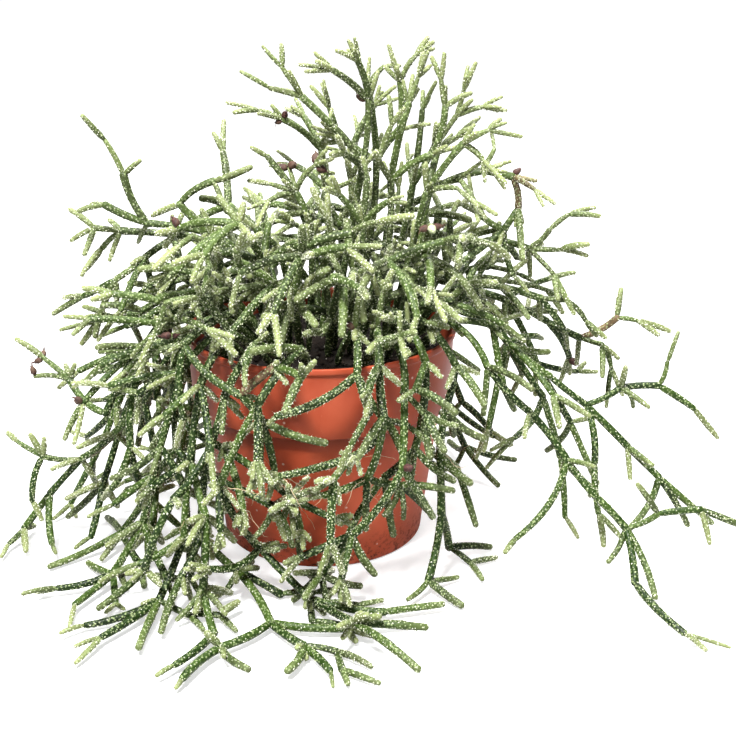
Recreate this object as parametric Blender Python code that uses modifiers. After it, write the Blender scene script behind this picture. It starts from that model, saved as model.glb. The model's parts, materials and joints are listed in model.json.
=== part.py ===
"""Potted rhipsalis: a jointed, trailing cactus in a thin plastic grower's pot.

Axes: +X to the right, +Y to the back, +Z up. The origin is the middle of the pot's underside.
Lengths are written in millimetres and become metres where a mesh is made.
"""
import itertools
import math
import random

import bmesh
import bpy
import numpy as np
from mathutils import Matrix, Vector
from mathutils.bvhtree import BVHTree

MM = 0.001

# Pot: a 12 cm grower's pot, one thin moulding with a deep collar.
POT_HEIGHT = 98.5
RIM_RADIUS = 60.0
COLLAR_HEIGHT = 32.0
COLLAR_FOOT_RADIUS = 58.4
WALL_TOP_RADIUS = 55.0
STEP_SLOPE = 0.4         # how far the collar's underside slopes down to the wall
INNER_STEP = 2.04        # how far the same step rises inside the pot
BASE_RADIUS = 46.3
BASE_CHAMFER = 1.2
WALL = 1.2
LIP_HEIGHT = 2.4
LIP_OUT = 0.9
POT_STEPS = 56
POT_COLOUR = (0.42, 0.085, 0.040)
DRAIN_HOLES = 8
DRAIN_HOLE_RADIUS = 4.0
DRAIN_RING_RADIUS = 34.0
DRAIN_CUTTER_SIDES = 16
DRAIN_CUTTER_DEPTH = 8.0

# Soil: peat mix, a finger's breadth below the rim, filling the pot down to its base.
SOIL_LEVEL = 90.0
SOIL_EDGE_DROP = 2.0
SOIL_EDGE_WIDTH = 6.0
SOIL_STEPS = 36
SOIL_COLOUR = (0.022, 0.015, 0.010)
FIT_GAP = 0.3
FACET_SLACK = 0.2        # more air where a turned face has flats

# Stems: a joint is one length of stem between two knots.
STEM_HALF = 1.5          # half the width of a grown joint's square section
YOUNG_HALF = 1.1         # half the width of a young joint's section
YOUNG_LENGTH = 17.0      # joints shorter than this are young
BENT_LENGTH = 34.0       # joints longer than this are modelled with a bend
CORNER = 1.42            # a square section's corner, in half widths
STEM_GAP = 0.9           # air kept between two cuttings
KIN_GAP = 0.3            # the same within one cutting
RIM_AIR = 1.0            # more air inside the rim
SURFACE_AIR = 0.1        # air under a stem that lies on the surface
LYING_HEIGHT = 14.0      # knots lower than this lie on the surface
STEM_COLOUR = (0.16, 0.23, 0.09)
SEED = 21


# ---- Materials -------------------------------------------------------------------------------

def material(name, colour, roughness):
    """A plain Principled material, colour in linear RGB."""
    made = bpy.data.materials.new(name)
    made.use_nodes = True
    shader = made.node_tree.nodes["Principled BSDF"]
    shader.inputs["Base Color"].default_value = (*colour, 1.0)
    shader.inputs["Roughness"].default_value = roughness
    shader.inputs["Metallic"].default_value = 0.0
    return made


def collection(name):
    """A collection linked to the scene."""
    made = bpy.data.collections.new(name)
    bpy.context.scene.collection.children.link(made)
    return made


# ---- Pot and soil ----------------------------------------------------------------------------

def turned(name, outline, steps, home, finish):
    """A turned solid from an outline of (radius, height) in mm, run down its outer side."""
    mesh = bpy.data.meshes.new(name)
    points = [(radius * MM, 0.0, height * MM) for radius, height in outline]
    edges = [(i, i + 1) for i in range(len(points) - 1)]
    mesh.from_pydata(points, edges, [])
    made = bpy.data.objects.new(name, mesh)
    home.objects.link(made)
    screw = made.modifiers.new("turn", "SCREW")
    screw.steps = steps
    screw.render_steps = steps
    screw.use_merge_vertices = True
    screw.merge_threshold = 0.00005
    mesh.materials.append(finish)
    return made


def wall_radius(height):
    """Outer radius of the pot at a height, in mm."""
    collar_foot = POT_HEIGHT - COLLAR_HEIGHT
    if height > collar_foot:
        rise = min((height - collar_foot) / COLLAR_HEIGHT, 1.0)
        return COLLAR_FOOT_RADIUS + (RIM_RADIUS - COLLAR_FOOT_RADIUS) * rise
    rise = max(height, 0.0) / collar_foot
    return BASE_RADIUS + (WALL_TOP_RADIUS - BASE_RADIUS) * rise


def make_pot(home, cutters):
    """The pot: one thin shell with a rolled lip, a stepped collar and a drained base."""
    collar_foot = POT_HEIGHT - COLLAR_HEIGHT
    lip_foot = POT_HEIGHT - LIP_HEIGHT
    outline = [
        (0.0, WALL),
        (BASE_RADIUS - WALL, WALL),
        (WALL_TOP_RADIUS - WALL, collar_foot + WALL),
        (COLLAR_FOOT_RADIUS - WALL, collar_foot + WALL + INNER_STEP),
        (RIM_RADIUS - WALL, POT_HEIGHT),
        (RIM_RADIUS + LIP_OUT, POT_HEIGHT),
        (RIM_RADIUS + LIP_OUT, lip_foot),
        (wall_radius(lip_foot - LIP_OUT), lip_foot - LIP_OUT),
        (COLLAR_FOOT_RADIUS, collar_foot),
        (WALL_TOP_RADIUS, collar_foot - STEP_SLOPE),
        (BASE_RADIUS, BASE_CHAMFER),
        (BASE_RADIUS - BASE_CHAMFER, 0.0),
        (0.0, 0.0),
    ]
    pot = turned("pot", outline, POT_STEPS, home, material("pot_plastic", POT_COLOUR, 0.38))
    for i in range(DRAIN_HOLES):
        angle = 2 * math.pi * i / DRAIN_HOLES
        place = (DRAIN_RING_RADIUS * MM * math.cos(angle), DRAIN_RING_RADIUS * MM * math.sin(angle), 0.0)
        bpy.ops.mesh.primitive_cylinder_add(
            vertices=DRAIN_CUTTER_SIDES, radius=DRAIN_HOLE_RADIUS * MM,
            depth=DRAIN_CUTTER_DEPTH * MM, location=place)
        cutter = bpy.context.object
        cutter.name = f"drain_hole_{i + 1}"
        for owner in cutter.users_collection:
            owner.objects.unlink(cutter)
        cutters.objects.link(cutter)
        cutter.hide_render = True
        cutter.display_type = "WIRE"
    cut = pot.modifiers.new("drain_holes", "BOOLEAN")
    cut.operand_type = "COLLECTION"
    cut.collection = cutters
    cut.solver = "EXACT"
    return pot


def make_soil(home):
    """The soil: one plug that fills the pot, sunk a little where it meets the wall."""
    collar_foot = POT_HEIGHT - COLLAR_HEIGHT
    inset = WALL + FIT_GAP + FACET_SLACK
    step = COLLAR_FOOT_RADIUS - WALL_TOP_RADIUS
    top_radius = wall_radius(SOIL_LEVEL) - inset
    outline = [
        (0.0, SOIL_LEVEL),
        (top_radius - SOIL_EDGE_WIDTH, SOIL_LEVEL),
        (top_radius, SOIL_LEVEL - SOIL_EDGE_DROP),
        (COLLAR_FOOT_RADIUS - inset, collar_foot + inset + step),
        (WALL_TOP_RADIUS - inset, collar_foot + WALL - FIT_GAP),
        (BASE_RADIUS - inset, WALL + FIT_GAP),
        (0.0, WALL + FIT_GAP),
    ]
    return turned("soil", outline, SOIL_STEPS, home, material("peat_soil", SOIL_COLOUR, 0.95))


# ---- Where the cuttings run ------------------------------------------------------------------
# Each cutting is a list of runs. A run's points are its knots. The first run starts at its root
# on the soil, given as (x, y); a later run starts at a knot of an earlier one and grows from it.

def visible_runs():
    """The cuttings whose lines were chosen one by one."""
    return {
        "stem_top_01": [
            [(6, -2), (12, -4, 132), (19, -6, 171)],
            [(19, -6, 171), (7, -8, 188), (-6, -10, 201)],
            [(-6, -10, 201), (-14, -11, 213)],
            [(-6, -10, 201), (-19, -13, 205)],
            [(19, -6, 171), (15, -10, 204)],
            [(15, -10, 204), (7, -11, 212)],
            [(15, -10, 204), (17, -12, 216)]],
        "stem_top_02": [
            [(16, 6), (22, 4, 136), (25, 4, 172)],
            [(25, 4, 172), (21, 5, 203)],
            [(21, 5, 203), (18, 5, 213)],
            [(21, 5, 203), (28, 3, 212)],
            [(25, 4, 172), (32, 1, 190), (35, -1, 206)],
            [(35, -1, 206), (30, -3, 221)],
            [(35, -1, 206), (39, 0, 219)]],
        "stem_top_03": [
            [(23, -6), (29, -10, 128), (31, -13, 166)],
            [(31, -13, 166), (38, -11, 198)],
            [(38, -11, 198), (42, -10, 209)],
            [(31, -13, 166), (43, -17, 185), (53, -19, 198)],
            [(53, -19, 198), (51, -20, 209)],
            [(53, -19, 198), (63, -21, 204)]],
        "stem_top_04": [
            [(29, 8), (35, 9, 130), (41, 8, 160)],
            [(41, 8, 160), (45, 14, 192)],
            [(41, 8, 160), (50, 5, 177), (59, 4, 191)],
            [(59, 4, 191), (70, 4, 195)],
            [(59, 4, 191), (62, 3, 202)]],
        "stem_top_05": [
            [(31, -9), (37, -15, 124), (46, -20, 163), (60, -25, 184)],
            [(60, -25, 184), (70, -27, 190)],
            [(60, -25, 184), (67, -28, 178)],
            [(46, -20, 163), (59, -27, 168)]],
        "stem_top_06": [
            [(39, 0), (43, 0, 128), (48, -2, 160), (70, -4, 169), (83, -6, 167), (86, -8, 154),
             (80, -10, 145)],
            [(80, -10, 145), (66, -13, 157)],
            [(80, -10, 145), (62, -18, 133)],
            [(80, -10, 145), (84, -16, 126)]],
        "stem_top_07": [
            [(0, 9), (3, 9, 132), (3, 7, 158), (1, 6, 176), (-15, 3, 190)],
            [(-15, 3, 190), (-25, 1, 194)],
            [(1, 6, 176), (-10, 12, 191)],
            [(3, 7, 158), (-10, 12, 168)]],
        "stem_top_08": [
            [(13, -16), (18, -23, 122), (19, -27, 150)],
            [(19, -27, 150), (10, -32, 164)],
            [(19, -27, 150), (29, -34, 162)],
            [(19, -27, 150), (21, -24, 170)]],
        "stem_top_09": [
            [(-5, -12), (-3, -16, 120), (-2, -17, 144), (-9, -16, 162), (-21, -14, 177)],
            [(-9, -16, 162), (-20, -22, 160)],
            [(-9, -16, 162), (-1, -19, 174)]],
        "stem_top_10": [
            [(14, 22), (16, 27, 134), (12, 32, 166)],
            [(12, 32, 166), (4, 34, 190)],
            [(12, 32, 166), (24, 36, 191)],
            [(16, 27, 134), (27, 35, 152)]],
        "stem_left_01": [
            [(-15, 0), (-26, -2, 126), (-48, -6, 142), (-74, -8, 147)],
            [(-74, -8, 147), (-83, -8, 168), (-90, -8, 183)],
            [(-74, -8, 147), (-88, -10, 158), (-97, -12, 155)],
            [(-48, -6, 142), (-60, -6, 155), (-45, -6, 165), (-29, -6, 171)]],
        "stem_left_02": [
            [(-18, 10), (-36, 10, 126), (-62, 8, 138), (-88, 3, 141)],
            [(-88, 3, 141), (-99, 0, 143), (-109, -2, 138)],
            [(-88, 3, 141), (-98, 8, 132), (-106, 9, 122)],
            [(-62, 8, 138), (-78, 3, 129), (-91, -2, 120)],
            [(-91, -2, 120), (-101, -6, 95)],
            [(-91, -2, 120), (-106, 0, 112)]],
        "stem_left_03": [
            [(-22, -7), (-42, -12, 118), (-60, -14, 128), (-68, -16, 112), (-72, -18, 94)],
            [(-68, -16, 112), (-84, -19, 104)],
            [(-72, -18, 94), (-97, -22, 84)],
            [(-60, -14, 128), (-76, -21, 130)]],
        "stem_left_04": [
            [(-30, -14), (-48, -20, 112), (-66, -24, 106), (-82, -23, 90), (-97, -17, 76)],
            [(-97, -17, 76), (-112, -14, 77), (-128, -12, 78)],
            [(-112, -14, 77), (-124, -10, 86)],
            [(-97, -17, 76), (-110, -20, 63), (-126, -19, 61)],
            [(-110, -20, 63), (-114, -22, 53)]],
        "stem_left_05": [
            [(-24, -20), (-42, -30, 112), (-60, -36, 102), (-76, -32, 74), (-91, -27, 57),
             (-108, -22, 42), (-124, -20, 24), (-137, -22, 7)],
            [(-108, -22, 42), (-124, -26, 45), (-135, -24, 51)],
            [(-124, -26, 45), (-129, -32, 26)],
            [(-124, -20, 24), (-121, -36, 7)],
            [(-137, -22, 7), (-142, -32, 4)]],
        "stem_left_06": [
            [(-28, -2), (-48, -2, 110), (-67, -3, 104), (-81, -7, 78), (-92, -10, 52),
             (-100, -16, 28), (-104, -32, 8)],
            [(-92, -10, 52), (-112, -4, 34)],
            [(-100, -16, 28), (-119, -12, 8)],
            [(-81, -7, 78), (-100, 0, 62)]],
        "stem_left_07": [
            [(-28, 9), (-48, 15, 112), (-68, 19, 104), (-85, 22, 80), (-100, 22, 50),
             (-112, 16, 24), (-122, 6, 6)],
            [(-85, 22, 80), (-104, 30, 74)],
            [(-100, 22, 50), (-118, 32, 30)],
            [(-112, 16, 24), (-116, 32, 6)]],
        "stem_left_08": [
            [(-36, -22), (-50, -31, 108), (-66, -38, 88), (-72, -37, 56), (-78, -30, 28),
             (-91, -28, 8), (-128, -42, 4)],
            [(-78, -30, 28), (-64, -24, 8)],
            [(-72, -37, 56), (-90, -44, 38)]],
        "stem_left_09": [
            [(-30, -29), (-42, -44, 108), (-56, -52, 94), (-66, -54, 62), (-75, -56, 28),
             (-88, -64, 7), (-110, -71, 4)],
            [(-66, -54, 62), (-85, -58, 46)],
            [(-75, -56, 28), (-64, -68, 7)],
            [(-88, -64, 7), (-100, -84, 4)]],
        "stem_left_10": [
            [(-20, -33), (-35, -49, 110), (-47, -60, 92), (-52, -64, 60), (-56, -67, 26),
             (-65, -84, 6), (-84, -109, 4)],
            [(-65, -84, 6), (-94, -94, 4)],
            [(-56, -67, 26), (-73, -76, 16)],
            [(-65, -84, 6), (-68, -116, 4)],
            [(-52, -64, 60), (-46, -78, 40), (-46, -88, 14), (-40, -106, 4), (-52, -128, 4)],
            [(-46, -88, 14), (-56, -96, 4)]],
        "stem_front_01": [
            [(-16, -25), (-34, -40, 117), (-49, -50, 100), (-36, -64, 88), (-22, -68, 80)],
            [(-22, -68, 80), (-17, -68, 56)],
            [(-22, -68, 80), (4, -73, 72)],
            [(-49, -50, 100), (-50, -58, 80)]],
        "stem_front_02": [
            [(-37, -33), (-47, -38, 109), (-60, -46, 92), (-59, -49, 74), (-39, -60, 64), (-2, -70, 49)],
            [(-59, -49, 74), (-60, -51, 60), (-45, -59, 50), (-18, -70, 42)],
            [(-18, -70, 42), (-10, -76, 27)],
            [(-18, -70, 42), (-27, -75, 29)],
            [(-2, -70, 49), (8, -72, 37)],
            [(-2, -70, 49), (-6, -76, 34)],
            [(-39, -60, 64), (-28, -70, 48)]],
        "stem_front_04": [
            [(8, -31), (16, -49, 112), (17, -66, 99), (-15, -74, 84)],
            [(17, -66, 99), (29, -67, 79), (16, -73, 66), (-14, -77, 59)],
            [(29, -67, 79), (38, -72, 60)]],
        "stem_front_05": [
            [(20, -29), (25, -46, 112), (26, -62, 101), (23, -69, 78), (21, -68, 62), (3, -70, 47)],
            [(21, -68, 62), (34, -62, 48), (47, -54, 32)],
            [(34, -62, 48), (28, -70, 38)],
            [(34, -62, 48), (36, -71, 37)]],
        "stem_front_06": [
            [(29, -24), (38, -40, 110), (45, -52, 99), (44, -57, 80), (41, -60, 64), (32, -62, 44),
             (12, -66, 24)],
            [(41, -60, 64), (57, -62, 50)],
            [(44, -57, 80), (58, -60, 74)]],
        "stem_front_07": [
            [(35, -18), (47, -32, 108), (57, -42, 95), (54, -46, 76), (52, -48, 56), (51, -54, 30),
             (47, -68, 6)],
            [(52, -48, 56), (60, -54, 38)],
            [(54, -46, 76), (70, -50, 64)],
            [(47, -68, 6), (38, -80, 4)]],
        "stem_front_08": [
            [(-12, -39), (-24, -55, 108), (-37, -64, 88), (-43, -62, 62), (-42, -60, 34),
             (-34, -70, 12), (-18, -98, 4)],
            [(-18, -98, 4), (-36, -116, 4), (-48, -137, 4)],
            [(-36, -116, 4), (-24, -131, 4)],
            [(-18, -98, 4), (-4, -115, 4), (7, -132, 4)],
            [(-4, -115, 4), (-9, -132, 4)],
            [(-18, -98, 4), (12, -102, 4), (36, -99, 4)],
            [(-42, -60, 34), (-56, -78, 14), (-60, -102, 4), (-75, -122, 4)],
            [(-43, -62, 62), (-58, -76, 44), (-70, -84, 20), (-88, -92, 4)],
            [(-34, -70, 12), (-24, -84, 5)]],
        "stem_front_09": [
            [(-3, -41), (-6, -59, 107), (-26, -72, 88), (-33, -68, 52), (-24, -68, 24), (-3, -84, 7),
             (14, -108, 9), (40, -134, 6)],
            [(-3, -84, 7), (28, -90, 4), (52, -84, 4)],
            [(-24, -68, 24), (-12, -76, 30)],
            [(-24, -68, 24), (-44, -88, 22)],
            [(14, -108, 9), (44, -108, 8)]],
        "stem_front_03": [
            [(16, -42), (30, -54, 108), (36, -64, 90), (30, -72, 62), (15, -80, 34), (2, -76, 14),
             (-14, -84, 8)],
            [(2, -76, 14), (18, -76, 8)],
            [(2, -76, 14), (-4, -96, 14)],
            [(15, -80, 34), (24, -80, 16)],
            [(15, -80, 34), (-6, -84, 26)]],
        "stem_right_01": [
            [(38, 7), (58, 6, 128), (77, 4, 137), (92, 0, 134)],
            [(92, 0, 134), (101, 0, 142), (109, 0, 149)],
            [(92, 0, 134), (106, -3, 134)],
            [(92, 0, 134), (103, -8, 124)],
            [(77, 4, 137), (89, 14, 126)]],
        "stem_right_02": [
            [(38, -8), (57, -11, 118), (79, -12, 120), (97, -10, 114)],
            [(97, -10, 114), (108, -9, 113), (118, -8, 103)],
            [(97, -10, 114), (109, -6, 98)],
            [(79, -12, 120), (90, -26, 110)]],
        "stem_right_03": [
            [(41, 15), (60, 15, 112), (84, 11, 107), (103, 7, 98), (118, 4, 91)],
            [(118, 4, 91), (134, 2, 101), (143, 1, 100)],
            [(118, 4, 91), (127, -3, 90), (132, -3, 79)],
            [(103, 7, 98), (116, 14, 80)]],
        "stem_right_04": [
            [(45, -13), (62, -17, 107), (83, -18, 96), (102, -17, 80), (119, -16, 66)],
            [(119, -16, 66), (134, -16, 74), (151, -16, 75), (167, -18, 65)],
            [(151, -16, 75), (154, -16, 86)],
            [(134, -16, 74), (142, -9, 62)],
            [(119, -16, 66), (138, -22, 48), (152, -26, 35), (166, -30, 13)],
            [(152, -26, 35), (178, -26, 12)],
            [(152, -26, 35), (138, -34, 12)],
            [(119, -16, 66), (122, -30, 44), (124, -36, 22)]],
        "stem_right_05": [
            [(40, -25), (54, -33, 107), (72, -38, 92), (90, -45, 74), (106, -50, 54),
             (118, -56, 40), (131, -60, 27)],
            [(131, -60, 27), (144, -61, 34), (162, -61, 36), (182, -62, 28)],
            [(131, -60, 27), (157, -74, 15), (174, -84, 5)],
            [(157, -74, 15), (155, -100, 4)],
            [(131, -60, 27), (149, -84, 12)],
            [(131, -60, 27), (132, -80, 12), (147, -106, 4)],
            [(131, -60, 27), (123, -68, 15)],
            [(106, -50, 54), (84, -64, 24)],
            [(106, -50, 54), (88, -52, 58), (70, -54, 56)],
            [(106, -50, 54), (108, -66, 30)]],
        "stem_right_06": [
            [(48, -2), (63, -3, 106), (84, -3, 91), (101, -6, 66), (110, -10, 38), (112, -20, 12)],
            [(101, -6, 66), (88, -16, 50)],
            [(110, -10, 38), (127, 0, 18)],
            [(84, -3, 91), (104, 4, 84)]],
        "stem_right_07": [
            [(44, 23), (60, 27, 108), (81, 29, 95), (102, 29, 70), (120, 26, 40), (134, 20, 10)],
            [(102, 29, 70), (124, 38, 62)],
            [(120, 26, 40), (112, 42, 18)],
            [(81, 29, 95), (98, 40, 92)]],
    }


def around(radius, azimuth, height):
    """A knot at a radius, a compass angle in degrees and a height."""
    angle = math.radians(azimuth)
    return (round(radius * math.cos(angle), 1), round(radius * math.sin(angle), 1), height)


# Cuttings that rise out of the soil all round, arch over and hang their ends at the rim:
# azimuth and radius of the root, height of the arch, and how far out the end reaches.
CROWN = [(-104, 27, 140, 66), (-80, 21, 130, 62), (-54, 27, 136, 70), (-26, 31, 133, 76),
         (40, 24, 139, 72), (68, 33, 131, 78), (96, 27, 140, 72), (122, 34, 133, 78),
         (156, 12, 150, 70), (-142, 20, 152, 72), (-122, 25, 128, 66), (22, 34, 136, 80),
         (-64, 12, 128, 52), (64, 14, 127, 50), (-174, 21, 129, 56)]
CROWN_BELOW_ARCH = 20    # the first knot is this far below the arch
CROWN_DROOP = 16         # and the end is this far below it
ARCH_AT = 0.62           # the arch's place along the reach
FORK_AT = 0.86           # the side end's place along the reach

# Cuttings that go over the rim at the back and trail down to the surface: azimuth and radius
# of the root, and how far out the end lies. Then the knots that they share, as radius,
# turn in degrees and height.
BACK = [(38, 39, 116), (60, 42, 124), (82, 39, 118), (104, 43, 126), (126, 40, 118), (148, 43, 122)]
BACK_KNOTS = [(54, 0, 110), (68, 2, 101), (73, 4, 74), (77, 2, 44), (88, -2, 16)]
BACK_FORKS = [(2, (90, 16, 62)), (3, (94, -12, 26)), (4, (106, 14, 5))]
BACK_END_TURN = -6
BACK_END_HEIGHT = 4


def crown_runs():
    """The runs of the cuttings in CROWN."""
    made = {}
    for i, (azimuth, root, height, reach) in enumerate(CROWN):
        foot = around(root, azimuth, 0)[:2]
        rise = around(root * 1.3 + 4, azimuth, height - CROWN_BELOW_ARCH)
        top = around(reach * ARCH_AT, azimuth + 6, height)
        end = around(reach, azimuth, height - CROWN_DROOP)
        side = around(reach * FORK_AT, azimuth - 18, height - 4)
        made[f"stem_crown_{i + 1:02d}"] = [[foot, rise, top, end], [top, side]]
    return made


def back_runs():
    """The runs of the cuttings in BACK."""
    made = {}
    for i, (azimuth, root, far) in enumerate(BACK):
        foot = around(root, azimuth, 0)[:2]
        knots = [around(out, azimuth + turn, height) for out, turn, height in BACK_KNOTS]
        end = around(far, azimuth + BACK_END_TURN, BACK_END_HEIGHT)
        forks = [[knots[at], around(out, azimuth + turn, height)]
                 for at, (out, turn, height) in BACK_FORKS]
        made[f"stem_back_{i + 1:02d}"] = [[foot, *knots, end], *forks]
    return made


# ---- How they grow ---------------------------------------------------------------------------

class Joint:
    """One length of stem: a curve from start to end that leaves towards control.

    Its rank is 0 on a cutting's first run, 1 on its other runs, and more on side shoots.
    """

    def __init__(self, owner, start, control, end, rank):
        self.owner, self.rank = owner, rank
        self.start, self.control, self.end = start, control, end
        length = np.linalg.norm(end - start)
        self.half = YOUNG_HALF if rank and length < YOUNG_LENGTH else STEM_HALF
        self.stretches = 2 if length > BENT_LENGTH else 1
        self.ahead = unit(end - control)
        self.leaves = unit(self.points()[1] - start)
        self.children = []

    def points(self):
        """The ends of its straight stretches, along the curve."""
        t = np.linspace(0.0, 1.0, self.stretches + 1)[:, None]
        return (1 - t) ** 2 * self.start + 2 * t * (1 - t) * self.control + t ** 2 * self.end


def unit(vector):
    """The same direction, with length 1."""
    return vector / max(np.linalg.norm(vector), 1e-9)


def too_alike(parent, joint):
    """Whether a joint would leave its knot too close beside one that the knot has."""
    return any(child.leaves @ joint.leaves > TOO_ALIKE for child in parent.children)


def clear_of_pot(point, reach):
    """Whether a stem of this reach about a point clears the surface, the pot and the soil."""
    out = math.hypot(point[0], point[1])
    height = point[2]
    if height < reach + SURFACE_AIR:
        return False
    if height > POT_HEIGHT + reach + STEM_GAP:
        return True
    if out > wall_radius(height) + LIP_OUT + reach + STEM_GAP:
        return True
    return height > SOIL_LEVEL + FIT_GAP and out < RIM_RADIUS - WALL - reach - STEM_GAP - RIM_AIR


class Thicket:
    """Every straight stretch grown so far, for keeping a new joint clear of them."""
    MOST = 6000
    SAME_KNOT = 0.01
    SAMPLE = 3.0
    FREE = 99.0

    def __init__(self):
        self.count = 0
        self.starts = np.zeros((self.MOST, 3))
        self.ends = np.zeros((self.MOST, 3))
        self.reaches = np.zeros(self.MOST)
        self.owners = np.zeros(self.MOST, dtype=int)

    def add(self, joint):
        """Take a joint in."""
        points = joint.points()
        for start, end in zip(points[:-1], points[1:]):
            self.starts[self.count] = start
            self.ends[self.count] = end
            self.reaches[self.count] = joint.half * CORNER
            self.owners[self.count] = joint.owner
            self.count += 1

    def gaps(self, start, end):
        """Closest distance from one straight stretch to each one grown so far."""
        others, ends = self.starts[:self.count], self.ends[:self.count]
        own, theirs, apart = end - start, ends - others, start - others
        own_square = own @ own
        their_square = np.maximum((theirs * theirs).sum(1), 1e-9)
        mixed = theirs @ own
        their_apart = (theirs * apart).sum(1)
        own_apart = apart @ own
        span = np.maximum(own_square * their_square - mixed * mixed, 1e-9)
        s = np.clip((mixed * their_apart - own_apart * their_square) / span, 0, 1)
        t = (mixed * s + their_apart) / their_square
        before = np.clip(-own_apart / own_square, 0, 1)
        after = np.clip((mixed - own_apart) / own_square, 0, 1)
        s = np.where(t < 0, before, np.where(t > 1, after, s))
        t = np.clip(t, 0, 1)
        return np.linalg.norm((start + s[:, None] * own) - (others + t[:, None] * theirs), axis=1)

    def room(self, joint):
        """The least air round a new joint, below 0 where it would touch something."""
        reach = joint.half * CORNER
        points = joint.points()
        for start, end in zip(points[:-1], points[1:]):
            steps = max(2, int(np.linalg.norm(end - start) / self.SAMPLE))
            for i in range(1, steps + 1):
                if not clear_of_pot(start + (end - start) * i / steps, reach):
                    return -1.0
        if not self.count:
            return self.FREE
        kin = self.owners[:self.count] == joint.owner
        at_start = np.abs(self.starts[:self.count] - joint.start).sum(1) < self.SAME_KNOT
        at_end = np.abs(self.ends[:self.count] - joint.start).sum(1) < self.SAME_KNOT
        wanted = np.where(kin, KIN_GAP, STEM_GAP) + self.reaches[:self.count] + reach
        least = self.FREE
        for start, end in zip(points[:-1], points[1:]):
            air = self.gaps(start, end) - wanted
            air[kin & (at_start | at_end)] = self.FREE
            least = min(least, float(air.min()))
        return least


SHORTEST = 10.0          # the shortest joint, in mm
NUDGES = 80              # tries at placing a joint that was chosen
NUDGE_STEP = 0.15        # how much further each try goes aside, in mm
FOLLOW = 0.35            # how much a joint keeps to the way the last one headed
TOO_ALIKE = 0.76         # two joints from one knot keep at least this cosine apart


def main_joint(thicket, rng, owner, rank, parent, place, heading, aim):
    """A joint towards a chosen knot, nudged aside where another stem is in its way, and its room."""
    floor = STEM_HALF * CORNER + FACET_SLACK
    best, best_room = None, None
    for trial in range(NUDGES):
        shift = 1.0 + trial * NUDGE_STEP if trial else 0.0
        end = aim + shift * np.array([rng.uniform(-1, 1) for _ in range(3)])
        end[2] = max(end[2], floor)
        span = np.linalg.norm(end - place)
        lead = unit(heading * FOLLOW + unit(end - place) * (1 - FOLLOW))
        joint = Joint(owner, place, place + lead * span * 0.5, end, rank)
        room = thicket.room(joint)
        if span < SHORTEST or (parent and too_alike(parent, joint)):
            room -= SHORTEST
        if best is None or room > best_room:
            best, best_room = joint, room
        if room >= 0:
            break
    return best, best_room


# How many side shoots a knot puts out and how long they are, by group.
SHOOTS = {"top": (1, 12, 24), "crown": (3, 16, 32), "left": (2, 16, 34), "right": (2, 16, 34),
          "front": (1, 14, 28), "back": (2, 20, 40)}
# They come only where the plant is bushy: inside this radius, and below these heights.
BUSHY_RADIUS = 88.0
BUSHY_HEIGHT = {"top": 182.0, "crown": 156.0, "left": 136.0, "right": 136.0, "front": 136.0,
                "back": 136.0}
# They come on the surface too, in front of the pot and to its left.
LYING_REACH = (-110.0, 12.0)
# The chance that a knot puts out shoots in each round, and their relative size.
ROUNDS = [(1.0, 1.0), (0.45, 0.8), (0.4, 0.65)]
MOST_SHOOTS = 4          # a knot has no room for more
SAG = 0.2                # how far a shoot's end drops, by its length
SAG_TOP = 0.06           # the same for the stiffer stems at the top
SHOOT_TRIES = 28
SHOOT_SHORTER = 0.015    # how much shorter each try is
SHOOT_ANGLES = (32, 68)  # between a shoot and the joint it grows from, in degrees
FLATTEN = 0.25           # how much of its rise a lying shoot keeps
INWARD = -0.3            # shoots that point further in than this, towards the pot, aren't grown


def bushy(place, group):
    """Whether a knot is where side shoots come."""
    x, y, z = place
    lying = z < LYING_HEIGHT and LYING_REACH[0] < x < LYING_REACH[1]
    return lying or (math.hypot(x, y) < BUSHY_RADIUS and z < BUSHY_HEIGHT[group])


def side_shoot(thicket, rng, parent, low, high, sag):
    """A side shoot at a knot, in a free direction, or None where there is no room."""
    hub = parent.end
    floor = STEM_HALF * CORNER + FACET_SLACK
    outward = unit(np.array([hub[0], hub[1], 0.0]))
    for trial in range(SHOOT_TRIES):
        side = np.array([rng.gauss(0, 1) for _ in range(3)])
        side = unit(side - parent.ahead * (side @ parent.ahead))
        angle = math.radians(rng.uniform(*SHOOT_ANGLES))
        heading = unit(parent.ahead * math.cos(angle) + side * math.sin(angle))
        length = max(rng.uniform(low, high) * (1 - SHOOT_SHORTER * trial), SHORTEST)
        if hub[2] < LYING_HEIGHT:
            heading = unit(heading * np.array([1.0, 1.0, FLATTEN]))
        end = hub + heading * length - np.array([0.0, 0.0, sag * length])
        end[2] = max(end[2], floor)
        control = hub + heading * length * 0.5
        control[2] = max(control[2], floor)
        joint = Joint(parent.owner, hub, control, end, parent.rank + 1)
        inward = hub[2] < POT_HEIGHT and heading @ outward < INWARD
        if not inward and not too_alike(parent, joint) and thicket.room(joint) >= 0:
            return joint
    return None


def grow_runs(thicket, rng, owner, runs):
    """One cutting's joints along its runs. A later run stops where it finds no room."""
    joints, knots = [], {}
    for run in runs:
        parent = knots.get(run[0])
        if parent is not None:
            place, heading = parent.end, parent.ahead
        elif not joints:
            place = np.array([run[0][0], run[0][1], SOIL_LEVEL + FIT_GAP])
            heading = np.array([0.0, 0.0, 1.0])
        else:
            continue
        for aim in run[1:]:
            aim_point = np.array(aim, dtype=float)
            rank = 0 if run is runs[0] else 1
            joint, room = main_joint(thicket, rng, owner, rank, parent, place, heading, aim_point)
            if room < 0 and rank:
                break
            if parent is not None:
                parent.children.append(joint)
            thicket.add(joint)
            joints.append(joint)
            knots[aim] = joint
            parent, place, heading = joint, joint.end, joint.ahead
    return joints


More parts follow.
